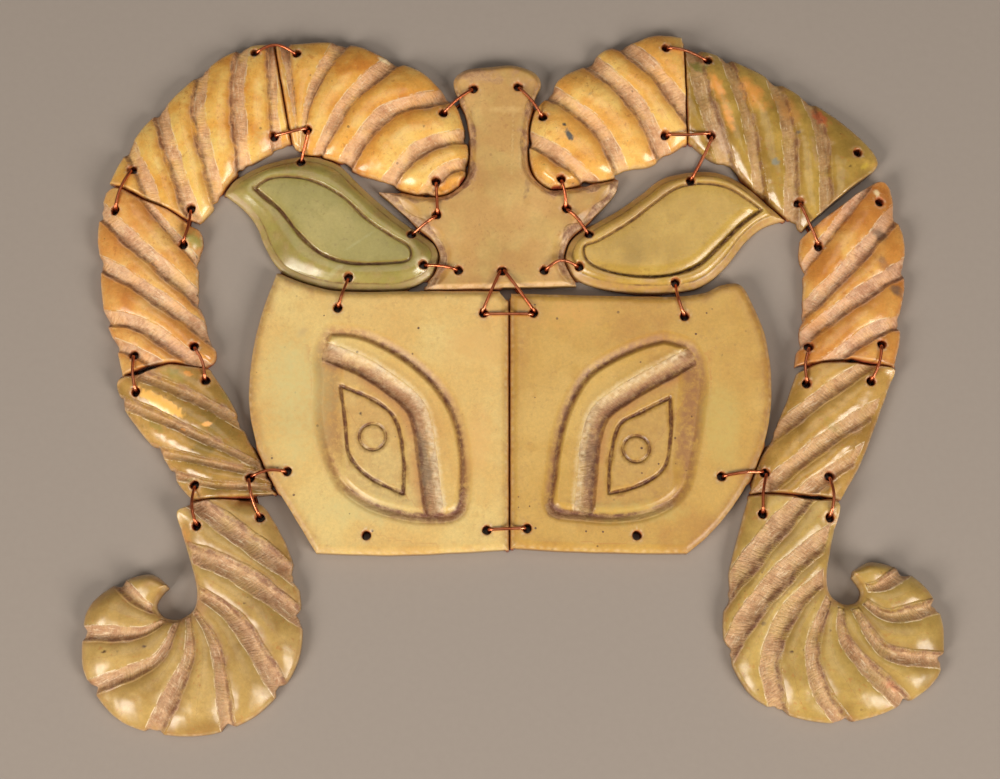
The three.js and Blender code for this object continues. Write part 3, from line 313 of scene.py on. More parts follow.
# Flat plates: an outline of smooth runs that meet at corners.
foreheadPlaque = {
    "name": "forehead_plaque",
    "outline": [
        [[-25.8, 25.9], [-24.3, 28.3], [-22.4, 31], [-21.2, 35.1], [-21.9, 38.3], [-24.1, 41.6],
            [-27.5, 44.6], [-31.6, 48.2], [-35.6, 51.9], [-39.5, 55.2]],
        [[-39.5, 55.2], [-33, 54.7], [-27.6, 53.8], [-23.6, 53.5], [-19.3, 54.2], [-15.7, 56.6],
            [-13.5, 59.6], [-12.6, 63], [-12.5, 67.5], [-12.8, 74], [-14, 79], [-15.8, 83.3], [-17.5, 89],
            [-14, 92.5], [-6.5, 93.5], [0, 94], [6, 92], [8.5, 88.5], [7.1, 85], [5.6, 80.5], [4.5, 74.5],
            [4.3, 68], [4.5, 63], [6.3, 59.2], [10.6, 55.9], [15, 55.9], [19.6, 56.4], [24, 57.5],
            [31.2, 58.8]],
        [[31.2, 58.8], [30.5, 55.6], [27.4, 51.4], [24, 48], [20, 44.6], [16.6, 41], [15, 37.3],
            [15, 34.3], [16.4, 31], [18.6, 27]],
        [[18.6, 27], [-25.8, 25.9]],
    ],
    "holes": [[-11.6, 86.5], [1.6, 87.1], [-22.3, 48.1], [15.8, 50], [-15.9, 31.4], [9.2, 31.4],
        [-3.1, 31.2]],
}

# Face plates: the eye is a mound ringed by a moat, with a lid groove, an incised almond and a ring.
facePlaques = [
    {
        "name": "left_face_plaque",
        "outline": [
            [[-1.5, -50.5], [-1.5, 22]],
            [[-1.5, 22], [-4, 25]],
            [[-4, 25], [-27, 25.2], [-49, 25], [-59.5, 27], [-69, 30.5]],
            [[-69, 30.5], [-72.5, 20.5], [-75.5, 8], [-76.5, -6], [-74.5, -18.5], [-69.5, -30],
                [-63.2, -40.5], [-56.5, -51.5]],
            [[-56.5, -51.5], [-32.5, -52], [-1.5, -50.5]],
        ],
        "moat": [[-53, 12.5], [-45.5, 12], [-38, 9], [-30, 4], [-22.5, -3], [-17.5, -11], [-15, -20.5],
            [-14.5, -30.5], [-16, -39.5], [-24, -41], [-32.5, -40], [-41.5, -37], [-49, -31], [-53, -22],
            [-55, -11.5], [-55, -1.5], [-55.5, 6]],
        "lid": [[-52, 6], [-43.5, 2.5], [-35, -3], [-28.5, -9], [-26, -16], [-24.5, -26.5], [-23, -37.5]],
        "almond": [
            [[-50, -3], [-48.5, -13], [-47, -23.5], [-41, -30], [-31.5, -34.5]],
            [[-31.5, -34.5], [-31.5, -25], [-33.5, -14], [-39, -8], [-50, -3]],
        ],
        "pupilAt": [-40.5, -18],
        "holes": [[-51, 20], [-8.5, 18.5], [-7.5, -45], [-65, -28], [-42, -46.5]],
    },
    {
        "name": "right_face_plaque",
        "outline": [
            [[-0.5, -50], [-0.5, 24.5]],
            [[-0.5, 24.5], [19.5, 24], [43, 23.5], [55, 24.5], [61, 27], [66.5, 27], [70, 21], [73.5, 11.5],
                [75, -1], [74, -14], [70, -26.5], [64, -37], [56.5, -46], [50, -51.5]],
            [[50, -51.5], [36.5, -51.5], [16.5, -51], [-0.5, -50]],
        ],
        "moat": [[44, 10.5], [37, 8.5], [28.5, 4.5], [21.5, -0.5], [16.5, -9], [13.5, -18.5], [12, -29],
            [11.5, -38.5], [20.5, -40.5], [30.5, -41], [40.5, -39], [48, -33.5], [51, -23.5],
            [53, -11.5], [54, -1], [51.5, 7.5]],
        "lid": [[49.5, 4], [41, -0.5], [32.5, -5.5], [25.5, -11], [22.5, -19], [21.5, -28], [20.5, -38]],
        "almond": [
            [[45.5, -6.5], [36.5, -11], [30.5, -15], [28, -25], [27.5, -34.5]],
            [[27.5, -34.5], [36.5, -32], [43.5, -27], [45.5, -17.5], [45.5, -6.5]],
        ],
        "pupilAt": [35.5, -21.5],
        "holes": [[6, 18.5], [50, 17.5], [60, -29.5], [4, -44.5], [35.5, -46.5]],
    },
]

# Wire ties: a name, the two drilled holes that it joins, as a plaque and a hole number, then how far it
# sways to one side and how far it rises over a taut pull.
ties = [
    ("tie_left_horn_1_2_upper", "left_horn_plaque_1", 0, "left_horn_plaque_2", 0, -2.2, 0.5),
    ("tie_left_horn_1_2_lower", "left_horn_plaque_1", 1, "left_horn_plaque_2", 1, 0.2, 0.25),
    ("tie_left_horn_1_ear", "left_horn_plaque_1", 1, "left_ear_plaque", 0, 0, 0.25),
    ("tie_left_horn_2_3_outer", "left_horn_plaque_2", 2, "left_horn_plaque_3", 0, -0.6, 0.4),
    ("tie_left_horn_2_3_inner", "left_horn_plaque_2", 3, "left_horn_plaque_3", 1, 0.5, 0.25),
    ("tie_left_horn_3_4_outer", "left_horn_plaque_3", 2, "left_horn_plaque_4", 0, -0.4, 0.25),
    ("tie_left_horn_3_4_inner", "left_horn_plaque_3", 3, "left_horn_plaque_4", 1, 0.9, 0.25),
    ("tie_left_horn_4_curl_outer", "left_horn_plaque_4", 2, "left_horn_curl", 0, -0.9, 0.5),
    ("tie_left_horn_4_curl_inner", "left_horn_plaque_4", 3, "left_horn_curl", 1, -0.5, 0.5),
    ("tie_left_horn_4_face", "left_horn_plaque_4", 3, "left_face_plaque", 3, 0.9, 0.6),
    ("tie_left_horn_1_forehead_upper", "left_horn_plaque_1", 2, "forehead_plaque", 0, 0.4, 0.4),
    ("tie_left_horn_1_forehead_lower", "left_horn_plaque_1", 3, "forehead_plaque", 2, 0, 0.25),
    ("tie_left_ear_forehead_upper", "left_ear_plaque", 1, "forehead_plaque", 2, 0, 0.25),
    ("tie_left_ear_forehead_lower", "left_ear_plaque", 2, "forehead_plaque", 4, 0.3, 0.4),
    ("tie_left_ear_face", "left_ear_plaque", 3, "left_face_plaque", 0, 0, 0.25),
    ("tie_nose_left", "forehead_plaque", 6, "left_face_plaque", 1, 0, 0.25),
    ("tie_nose_right", "forehead_plaque", 6, "right_face_plaque", 0, 0, 0.25),
    ("tie_nose_across", "left_face_plaque", 1, "right_face_plaque", 0, 0, 0.25),
    ("tie_muzzle", "left_face_plaque", 2, "right_face_plaque", 3, 0, 0.25),
    ("tie_right_horn_1_forehead_upper", "right_horn_plaque_1", 2, "forehead_plaque", 1, -0.4, 0.4),
    ("tie_right_horn_1_forehead_lower", "right_horn_plaque_1", 3, "forehead_plaque", 3, 0.4, 0.25),
    ("tie_right_ear_forehead_upper", "right_ear_plaque", 1, "forehead_plaque", 3, -0.5, 0.25),
    ("tie_right_ear_forehead_lower", "right_ear_plaque", 2, "forehead_plaque", 5, -2, 1),
    ("tie_right_horn_1_2_upper", "right_horn_plaque_1", 0, "right_horn_plaque_2", 0, 0.6, 0.3),
    ("tie_right_horn_1_2_lower", "right_horn_plaque_1", 1, "right_horn_plaque_2", 1, -0.4, 0.25),
    ("tie_right_horn_2_ear", "right_horn_plaque_2", 1, "right_ear_plaque", 0, 0.4, 0.25),
    ("tie_right_horn_2_3_inner", "right_horn_plaque_2", 2, "right_horn_plaque_3", 0, 0, 0.25),
    ("tie_right_horn_3_4_inner", "right_horn_plaque_3", 2, "right_horn_plaque_4", 0, -0.8, 0.25),
    ("tie_right_horn_3_4_outer", "right_horn_plaque_3", 3, "right_horn_plaque_4", 1, 0.7, 0.25),
    ("tie_right_horn_4_face", "right_horn_plaque_4", 2, "right_face_plaque", 2, -0.3, 0.25),
    ("tie_right_horn_4_curl_inner", "right_horn_plaque_4", 2, "right_horn_curl", 0, -0.5, 0.5),
    ("tie_right_horn_4_curl_outer", "right_horn_plaque_4", 3, "right_horn_curl", 1, 0.9, 0.6),
    ("tie_right_ear_face", "right_ear_plaque", 3, "right_face_plaque", 1, -0.5, 0.25),
]


# How fine the carving is and how far it departs from the plain solids, shared by all the stones
carving = {
    "step": 0.5,  # spacing of the mesh over a carved surface
    "plainStep": 0.8,  # and over a flat one
    "outlineStep": 0.42,
    "insets": (0.12, 0.32, 0.62, 1.0),  # rings of points inside every edge
    "holeRadius": 1.45,
    "holeTaper": 0.8,  # a drilled hole narrows towards the back
    "holeSides": 28,
    "holeRings": (0.12, 0.3, 0.55),
    "holeWear": 0.22,
    "backGrooveHalf": 1.15,
    "backGrooveDepth": 1.7,
    "backStep": 5,
    "wobble": 0.05,  # hand-cut unevenness of the outline
    "seamFlare": 0.42,  # how far an edge's foot leans towards its neighbour, as a share of the gap
    "seamGap": (1.9, 1.3),  # a wider gap stays open, a narrower one shuts
    # painted shade: the side walls take the darker wall colour, fully where a seam is narrow
    "wallGap": (2.6, 1.4),  # a wider gap shows its walls paler, a narrower one in their full colour
    "ledge": 1,  # how far below the face a seam shuts
    "boxMargin": 0.03,  # how far everything stays inside the box of the solids
}


def smoothRun(points, step):
    # a smooth curve through the points, evenly stepped; two points stay straight
    knots = np.array(points, float)
    if len(knots) > 2:
        ends = np.vstack([knots[:1], knots, knots[-1:]])
        share = np.linspace(0, 1, 20, endpoint=False)[:, None]
        parts = []
        for before, here, there, after in zip(ends[:-3], ends[1:-2], ends[2:-1], ends[3:]):
            leaving = (there - before) / 2
            arriving = (after - here) / 2
            cubic = 2 * here - 2 * there + leaving + arriving
            square = 3 * there - 3 * here - 2 * leaving - arriving
            parts.append(((cubic * share + square) * share + leaving) * share + here)
        knots = np.vstack(parts + [knots[-1:]])
    return evenly(knots, step)


def reachOf(line):
    return np.concatenate([[0], np.cumsum(np.hypot(*np.diff(line, axis=0).T))])


def evenly(line, step):
    reach = reachOf(line)
    count = max(1, int(round(reach[-1] / step)))
    at = np.linspace(0, reach[-1], count + 1)
    return np.column_stack([np.interp(at, reach, line[:, 0]), np.interp(at, reach, line[:, 1])])


def joined(runs, step):
    parts = [smoothRun(run, step) for run in runs if len(run) > 1]
    return np.vstack([parts[0]] + [part[1:] for part in parts[1:]])


def closed(line):
    return np.vstack([line, line[:1]])


def smoothLoop(points, step):
    return smoothRun(points + points[:1], step)


def runOn(line, length):
    # the line carried straight on past both its ends
    first, last = line[0] - line[1], line[-1] - line[-2]
    start = line[0] + first / np.hypot(*first) * length
    end = line[-1] + last / np.hypot(*last) * length
    return np.vstack([start, line, end])


def nearestOn(places, line):
    # for each place: its distance from the line, the side it lies on, and how far along that is
    start = line[:-1]
    leg = np.diff(line, axis=0)
    legSquare = (leg ** 2).sum(1) + 1e-12
    legLength = np.sqrt(legSquare)
    reach = reachOf(line)
    found = np.empty((3, len(places)))
    for first in range(0, len(places), 4000):
        block = places[first:first + 4000]
        offX = block[:, :1] - start[:, 0]
        offY = block[:, 1:] - start[:, 1]
        share = np.clip((offX * leg[:, 0] + offY * leg[:, 1]) / legSquare, 0, 1)
        square = (offX - share * leg[:, 0]) ** 2 + (offY - share * leg[:, 1]) ** 2
        best = square.argmin(1)
        row = np.arange(len(best))
        cross = leg[best, 0] * offY[row, best] - leg[best, 1] * offX[row, best]
        found[0, first:first + 4000] = np.sqrt(square[row, best])
        found[1, first:first + 4000] = np.where(cross < 0, -1, 1)
        found[2, first:first + 4000] = reach[best] + share[row, best] * legLength[best]
    return found


def inside(places, outline):
    # whether each place lies within a closed outline
    result = np.zeros(len(places), bool)
    x, y = places.T
    for (x1, y1), (x2, y2) in zip(outline, np.roll(outline, -1, axis=0)):
        if y1 != y2:
            crosses = ((y1 > y) != (y2 > y)) & (x < (x2 - x1) * (y - y1) / (y2 - y1) + x1)
            result ^= crosses
    return result


def anticlockwise(loop):
    x, y = loop.T
    area = (x * np.roll(y, -1) - y * np.roll(x, -1)).sum()
    return loop if area > 0 else loop[::-1]


def squareTo(along):
    # unit vectors to the left of the given ones
    along = along / np.hypot(*along.T)[:, None]
    return np.column_stack([-along[:, 1], along[:, 0]])


def inwards(loop):
    # unit vectors that point into an anticlockwise loop
    return squareTo(np.roll(loop, -1, axis=0) - np.roll(loop, 1, axis=0))


def uneven(places, size, seed, waves=10):
    # a smooth random surface between about -1 and 1, with features of the given size
    random = np.random.default_rng(seed)
    total = np.zeros(len(places))
    for _ in range(waves):
        turn = random.uniform(0, 2 * math.pi)
        pitch = size * random.uniform(0.7, 1.6)
        phase = random.uniform(0, 2 * math.pi)
        total += np.cos((places @ [math.cos(turn), math.sin(turn)]) * 2 * math.pi / pitch + phase)
    return total / math.sqrt(waves * 1.6)


def cloudy(places, size, seed):
    # the same, from about 0 to 1
    return 0.5 + 0.5 * uneven(places, size, seed)


def smoothstep(low, high, value):
    share = np.clip((value - low) / (high - low), 0, 1)
    return share * share * (3 - 2 * share)


def bell(value, middle, width):
    return np.exp(-((value - middle) / width) ** 2)


def fading(distance, reach):
    # 1 at no distance, 0 at the reach and beyond it
    return np.clip(1 - distance / reach, 0, 1)


def hexFill(outline, step):
    low, high = outline.min(0), outline.max(0)
    rows = np.arange(low[1], high[1], step * 0.866)
    columns = np.arange(low[0], high[0], step)
    x = columns[None, :] + (np.arange(len(rows)) % 2)[:, None] * step / 2
    y = np.repeat(rows[:, None], len(columns), axis=1)
    return np.column_stack([x.ravel(), y.ravel()])


def spread(groups, cell):
    # drops points that share a small cell with one from an earlier group
    places = np.vstack([group for group in groups if len(group)])
    _, kept = np.unique(np.floor(places / cell).astype(np.int64), axis=0, return_index=True)
    return places[np.sort(kept)]


def gapTo(places, others):
    # how far each place is from the nearest of the others
    tree = kdtree.KDTree(len(others))
    for i, (x, y) in enumerate(others):
        tree.insert((x, y, 0), i)
    tree.balance()
    return np.array([tree.find((x, y, 0))[2] for x, y in places])


def apartFrom(places, others, gap):
    if not len(others) or not len(places):
        return places
    return places[gapTo(places, others) > gap]


def wellInside(places, outline, gap):
    # those that lie inside the outline by more than the gap
    places = places[inside(places, outline)]
    return places[nearestOn(places, closed(outline))[0] > gap]


def clearOfHoles(places, holes, gap):
    for hole in holes:
        places = places[np.hypot(*(places - hole).T) > gap]
    return places


def triangulate(loops, extra, holes, bore):
    # triangles over an outline with holes; returns places, triangles and where each loop point went
    places = [Vector(point) for loop in loops for point in loop] + [Vector(point) for point in extra]
    edges = []
    first = 0
    for loop in loops:
        edges += [(first + i, first + (i + 1) % len(loop)) for i in range(len(loop))]
        first += len(loop)
    points, _, faces, origins, _, _ = delaunay_2d_cdt(places, edges, [], 1, 1e-6, True)
    points = np.array([tuple(point) for point in points])
    faces = np.array(faces)
    middle = points[faces].mean(1)
    keep = np.ones(len(faces), bool)
    for hole in holes:
        keep &= np.hypot(*(middle - hole).T) > bore * 0.93
    keep &= inside(middle, loops[0])
    faces = faces[keep]
    a, b, c = (points[faces[:, k]] for k in range(3))
    area = (b[:, 0] - a[:, 0]) * (c[:, 1] - a[:, 1]) - (b[:, 1] - a[:, 1]) * (c[:, 0] - a[:, 0])
    faces[area < 0] = faces[area < 0][:, ::-1]
    went = {source: i for i, sources in enumerate(origins) for source in sources}
    placed = []
    first = 0
    for loop in loops:
        placed.append([went[first + i] for i in range(len(loop))])
        first += len(loop)
    return points, faces, placed


def holeLoops(holes):
    loops = []
    for i, (x, y) in enumerate(holes):
        turn = np.arange(carving["holeSides"]) * 2 * math.pi / carving["holeSides"]
        chips = 1 + 0.035 * np.sin(turn * 3 + 2 * i) + 0.03 * np.sin(turn * 7 + 5 * i)
        radius = carving["holeRadius"] * chips
        loops.append(np.column_stack([x + radius * np.cos(turn), y + radius * np.sin(turn)]))
    return loops


def holeSurround(loops, holes):
    rings = []
    for loop, hole in zip(loops, holes):
        out = loop - hole
        out /= np.hypot(*out.T)[:, None]
        rings += [loop + out * gap for gap in carving["holeRings"]]
    return np.vstack(rings)


def withinBox(outline):
    low, high = (np.array(corner[:2]) / mm for corner in cadBox)
    return np.clip(outline, low + carving["boxMargin"], high - carving["boxMargin"])


def backHeight(places, grooves):
    height = np.zeros(len(places))
    for groove in grooves:
        distance = nearestOn(places, np.array(groove))[0]
        depth = carving["backGrooveDepth"] * fading(distance, carving["backGrooveHalf"])
        height = np.maximum(height, depth)
    return height


# What a finish can know of each point: millimetres into a flute, the share from its lip (-1) to its
# wall (1), millimetres along and across it, how worn or stained the place is, where painted highlights
# lie among the pale worn edges, and how far it is a seam's wall, in painted shade, or a hole's wall, in grime
# and painted shade
layers = {"inFlute": -6, "lipToWall": 0, "along": 0, "across": 0, "crease": 0, "edge": 0, "dirt": 0,
          "bore": 0, "wall": 0}


def wearHoles(points, holes, surface, ringed):
    # each mouth is a little worn and stained, with pale chips round it
    for i, hole in enumerate(holes):
        gap = np.maximum(np.hypot(*(points - hole).T) - carving["holeRadius"], 0)
        ragged = uneven(points, 1.3, 31 + i)
        surface["height"] -= carving["holeWear"] * np.exp(-gap / 0.2) * (0.7 + 0.3 * ragged)
        chipped = bell(gap, 0.35, 0.3) * (0.2 + 0.7 * ragged)
        if i in ringed:
            chipped = 1.6 * bell(gap, 0.4, 0.4)
        surface["edge"] = np.maximum(surface["edge"], chipped)
        surface["dirt"] = np.maximum(surface["dirt"], np.exp(-gap / 0.6) * (0.7 + 0.3 * ragged))
        # the hole walls' dark colour reaches a tenth of a millimetre over the mouth: grime and painted shade
        surface["bore"] = np.maximum(surface["bore"], 0.45 * np.exp(-gap / 0.1))


def carveStone(name, form, grooves):
    # one plaque as a closed mesh: carved top, drilled holes, edges, and a flat back with V grooves
    outline, gap = form["outline"], form["toOthers"]
    holes = np.array(form["holes"], float)
    bores = holeLoops(holes)
    boreFeet = [hole + (bore - hole) * carving["holeTaper"] for hole, bore in zip(holes, bores)]

    # points of the mesh; the bare numbers are gaps in millimetres that keep them apart
    normals = inwards(outline)
    flare = gap * carving["seamFlare"] * smoothstep(*carving["seamGap"], gap)
    foot = outline - normals * flare[:, None]  # the edge leans out under a seam and shuts it
    ring = closed(outline)
    insets = np.vstack([outline + normals * depth for depth in carving["insets"]])
    depths = np.repeat(carving["insets"], len(outline))
    insets = insets[inside(insets, outline) & (nearestOn(insets, ring)[0] > depths * 0.85)]
    lines = wellInside(spread([np.vstack(form["lines"])], 0.16), outline, 0.14)
    near = spread([lines, insets], 0.2)
    fill = wellInside(hexFill(outline, form["step"]), outline, carving["insets"][-1] + 0.25)
    fill = apartFrom(fill, near, form["step"] * 0.72)
    clear = carving["holeRadius"] + carving["holeRings"][-1] + 0.2
    extra = clearOfHoles(np.vstack([near, fill]), holes, clear)
    surround = wellInside(holeSurround(bores, holes), outline, 0.1)
    extra = np.vstack([apartFrom(extra, surround, 0.16), surround])
    points, faces, placed = triangulate([outline] + bores, extra, holes, carving["holeRadius"])

    # height and wear of the top
    rim = nearestOn(points, ring)
    rim[0][placed[0]] = 0
    surface = {key: np.full(len(points), float(value)) for key, value in layers.items()}
    surface.update(form["surface"](points, rim))
    wearHoles(points, holes, surface, form["ringed"])
    height = surface.pop("height")
    for key in ("crease", "edge", "dirt"):
        surface[key] = np.clip(surface[key], 0, 1)
    vertices = [np.column_stack([points, height])]
    count = len(points)

    # edges and bores drop to the back
    polygons = [faces.tolist()]
    backLoops = []
    for index, (loop, at) in enumerate(zip([foot] + boreFeet, placed)):
        low = np.minimum(backHeight(loop, grooves), height[at] - 0.3)
        above = at
        for level in [np.maximum(height[at] - carving["ledge"], low + 0.1), low] if index == 0 else [low]:
            vertices.append(np.column_stack([loop, level]))
            below = count + np.arange(len(loop))
            count += len(loop)
            walls = np.column_stack([above, below, np.roll(below, -1), np.roll(above, -1)])
            polygons.append((walls if index == 0 else walls[:, ::-1]).tolist())
            above = below
        backLoops.append(below)

    # back
    coarse = [hexFill(outline, carving["backStep"])]
    for groove in grooves:
        line = evenly(np.array(groove), 1.2)
        along = (line[-1] - line[0]) / np.hypot(*(line[-1] - line[0]))
        side = np.array([-along[1], along[0]])
        half = side * carving["backGrooveHalf"]
        coarse.insert(0, np.vstack([line + half * k for k in (-1, -0.5, 0, 0.5, 1)]))
    coarse = wellInside(spread(coarse, 0.3), outline, 0.35)
    coarse = clearOfHoles(coarse, holes, carving["holeRadius"] + 0.3)
    footRadius = carving["holeRadius"] * carving["holeTaper"]
    flat, backFaces, backPlaced = triangulate([foot] + boreFeet, coarse, holes, footRadius)
    index = np.full(len(flat), -1)
    for at, below in zip(backPlaced, backLoops):
        index[at] = below
    free = index < 0
    index[free] = count + np.arange(free.sum())
    vertices.append(np.column_stack([flat[free], backHeight(flat[free], grooves)]))
    polygons.append(index[backFaces][:, ::-1].tolist())
    allVertices = np.vstack(vertices)

    mesh = bpy.data.meshes.new(name)
    mesh.from_pydata((allVertices * mm).tolist(), [], sum(polygons, []))
    smooth = np.ones(len(mesh.polygons), bool)
    smooth[-len(backFaces):] = False
    mesh.polygons.foreach_set("use_smooth", smooth)
    extraCount = len(allVertices) - len(points)
    rimCount = 2 * len(outline)
    boreCount = sum(len(bore) for bore in bores)
    for key, values in surface.items():
        lower = np.full(extraCount, float(layers[key]))
        # painted shade: the outline's walls take the darker wall colour, fully where a seam is narrow
        if key == "wall":
            lower[:rimCount] = np.tile(0.3 + 0.7 * smoothstep(*carving["wallGap"], gap), 2)
        # the hole walls take the bore colour: grime and painted shade
        if key == "bore":
            lower[rimCount:rimCount + boreCount] = 1
        addValues(mesh, key, np.concatenate([values, lower]))
    tint = spotColours(points, form["spots"])
    tint = np.vstack([tint, np.zeros((extraCount, 4))])
    layer = mesh.attributes.new("tint", "FLOAT_COLOR", "POINT")
    layer.data.foreach_set("color", tint.ravel())
    mesh.validate()
    return intoScene(name, mesh)


def addValues(mesh, name, values):
    layer = mesh.attributes.new(name, "FLOAT", "POINT")
    layer.data.foreach_set("value", np.ascontiguousarray(values, dtype=np.float32))


def spotColours(points, spots):
    # stains, chips and specks laid one over another: colour, and how much it covers
    colour = np.zeros((len(points), 3))
    cover = np.zeros(len(points))
    for number, (x, y, length, width, turn, shade, strength) in enumerate(spots):
        off = points - (x, y)
        c, s = math.cos(math.radians(turn)), math.sin(math.radians(turn))
        along, across = off[:, 0] * c + off[:, 1] * s, off[:, 1] * c - off[:, 0] * s
        radial = np.hypot(along * 2 / length, across * 2 / width)
        ragged = 0.18 * uneven(points, max(0.8, width * 0.5), 400 + number)
        mask = strength * (1 - smoothstep(0.2, 1.35, radial + ragged))
        shadeLinear = np.array(linear(shade)[:3])
        total = cover + mask * (1 - cover)
        keep = np.where(total > 1e-6, mask / np.maximum(total, 1e-6), 0)[:, None]
        colour = colour * (1 - keep) + shadeLinear * keep
        cover = total
    return np.column_stack([colour, cover])


# Forms. Each gives a plaque's outline, the lines that its mesh follows, and a surface: the height and
# the wear at each place. Bare numbers in a surface are millimetres, or shares from 0 to 1.

# Horn plaques: domed across, with flutes that have one crisp lip and one soft wall
hornCarving = {
    "crown": 7.2,
    "edge": 3.2,
    "swell": 0.95,
    "fluteDepth": 1.6,
    "fluteShare": 0.62,
    "rimDepth": 0.75,
    "notch": 0.95,
    "longEdge": 0.95,  # rounding of the two long edges
    "seamEdge": 0.35,  # and of the seams
    "runOut": 5,  # how far a flute's line is carried on past its ends
    "lanes": (-1.1, -1, -0.9, -0.7, -0.45, -0.2, 0.05, 0.25, 0.42, 0.56, 0.7, 0.85, 1, 1.15),
}


def rounding(distance, radius):
    # how far an edge of that radius has dropped at a distance from the outline
    depth = np.clip(radius - distance, 0, radius)
    return radius - np.sqrt(np.maximum(radius * radius - depth * depth, 0))


def fluteProfile(t, deepest):
    floor = np.sin(np.clip((t + 1) / (1 + deepest), 0, 1) * math.pi / 2)
    wall = (1 + np.cos(np.clip((t - deepest) / (1 - deepest), 0, 1) * math.pi)) / 2
    return np.where(t < deepest, floor, wall) * (np.abs(t) < 1)


def hornForm(plaque, finish):
    cut, seed = hornCarving, finish["seed"]
    step = 0.6
    farStart = plaque.get("farStart", []) + plaque["far"][:1]
    nearStart = plaque.get("nearStart", []) + plaque["near"][:1]
    nearEnd = plaque["near"][-1:] + plaque.get("nearEnd", [])
    far = joined([farStart, plaque["far"]], step)
    near = joined([nearStart, plaque["near"], nearEnd], step)
    farEdge = smoothRun(plaque["far"], step)
    nearEdge = smoothRun(plaque["near"], step)
    firstSeam = evenly(np.array(farStart[::-1] + nearStart, float), step)
    lastSeam = evenly(np.array(plaque["far"][-1:] + nearEnd[::-1], float), step)
    lean = finish["lean"]
    outerEdge = nearEdge if plaque["name"].endswith("curl") else farEdge

    flutes = []
    for width, *points in plaque["flutes"]:
        line = smoothRun(points, step)
        flutes.append({"path": runOn(line, cut["runOut"]), "width": width, "middle": line[len(line) // 2],
                       "far": far[np.hypot(*(far - line[0]).T).argmin()],
                       "near": near[np.hypot(*(near - line[-1]).T).argmin()]})
    for i, flute in enumerate(flutes):
        others = [flutes[k] for k in (i - 1, i + 1) if 0 <= k < len(flutes)]
        room = [min(np.hypot(*(other[side] - flute[side])) for other in others) for side in ("far", "near")]
        flute["ends"] = [min(flute["width"], space * cut["fluteShare"]) * finish["slim"] for space in room]
        flute["wave"] = (i + seed) * 1.7
        other = flutes[i + 1] if i + 1 < len(flutes) else flutes[i - 1]
        side = nearestOn(other["middle"][None], flute["path"])[1][0]
        flute["turn"] = side if i + 1 < len(flutes) else -side

    def halfAt(flute, reach):
        # half the flute's width that far along it, a little uneven as cut by hand
        total = reachOf(flute["path"])[-1]
        share = np.clip((reach - cut["runOut"]) / (total - 2 * cut["runOut"]), 0, 1)
        half = (flute["ends"][0] + (flute["ends"][1] - flute["ends"][0]) * share) / 2
        wave = np.sin(reach * 0.4 + flute["wave"]) + 0.5 * np.sin(reach + 2.3 * flute["wave"])
        return half * (1 + 0.06 * wave + finish["bulge"] * np.sin(math.pi * share))

    def across(places):
        rows = []
        for flute in flutes:
            distance, side, reach = nearestOn(places, flute["path"])
            rows.append((distance * side * flute["turn"], halfAt(flute, reach), reach))
        return [np.array(parts) for parts in zip(*rows)]

    def room(places):
        # how far inside the stretch that the flutes may fill, where they stop short of a long edge
        toFar = nearestOn(places, farEdge)[0] - finish["stops"][0]
        toNear = nearestOn(places, nearEdge)[0] - finish["stops"][1]
        return np.minimum(toFar, toNear)

    # outline, bitten into where the flutes run off it
    runs = [far, evenly(np.vstack([far[-1], near[-1]]), step), near[::-1],
            evenly(np.vstack([near[0], far[0]]), step)]
    outline = np.vstack([evenly(run, carving["outlineStep"])[:-1] for run in runs])
    outline = anticlockwise(outline)
    toLong = np.minimum(nearestOn(outline, farEdge)[0], nearestOn(outline, nearEdge)[0])
    onLong = smoothstep(0.5, 0.05, toLong)
    offset, half, _ = across(outline)
    bite = fluteProfile(offset / half * lean, finish["deepest"]).max(0) * np.clip(half.max(0) / 2, 0, 1)
    ragged = 0.75 + 0.35 * uneven(outline, 3, seed + 8)
    bite *= finish["bite"] * smoothstep(-0.6, 1.5, room(outline)) * ragged
    wobble = carving["wobble"] * (1 + uneven(outline, 5, seed))
    push = cut["notch"] * bite * onLong + wobble
    outline = outline + inwards(outline) * push[:, None]
    edgeRadius = cut["seamEdge"] + (cut["longEdge"] - cut["seamEdge"]) * onLong
    rimReach = reachOf(closed(outline))
    rimRadius = np.append(edgeRadius, edgeRadius[0])

    lines = []
    for flute in flutes:
        path = evenly(flute["path"], 0.42)
        side = squareTo(np.gradient(path, axis=0)) * flute["turn"] * lean
        halfWidth = halfAt(flute, reachOf(path))
        lines += [path + side * (halfWidth * lane)[:, None] for lane in cut["lanes"]]

    def surface(places, rim):
        toFar = nearestOn(places, farEdge)[0]
        toNear = nearestOn(places, nearEdge)[0]
        middle = np.minimum(toFar, toNear) / (toFar + toNear + 1e-6)
        dome = 1 - (1 - 2 * middle) ** 3
        height = cut["edge"] + (cut["crown"] - cut["edge"]) * dome
        offset, half, reach = across(places)
        t = offset / half * lean
        fluteRoom = room(places)
        profile = (fluteProfile(t, finish["deepest"]) * np.clip(half / 2, 0.3, 1)).max(0)
        profile *= smoothstep(-0.6, 1.8, fluteRoom)
        depthIn = half - np.abs(offset)
        here = depthIn.argmax(0)
        row = np.arange(len(places))
        tHere = t[here, row]
        inFlute = np.clip(np.minimum(depthIn[here, row], fluteRoom), -6, 6)

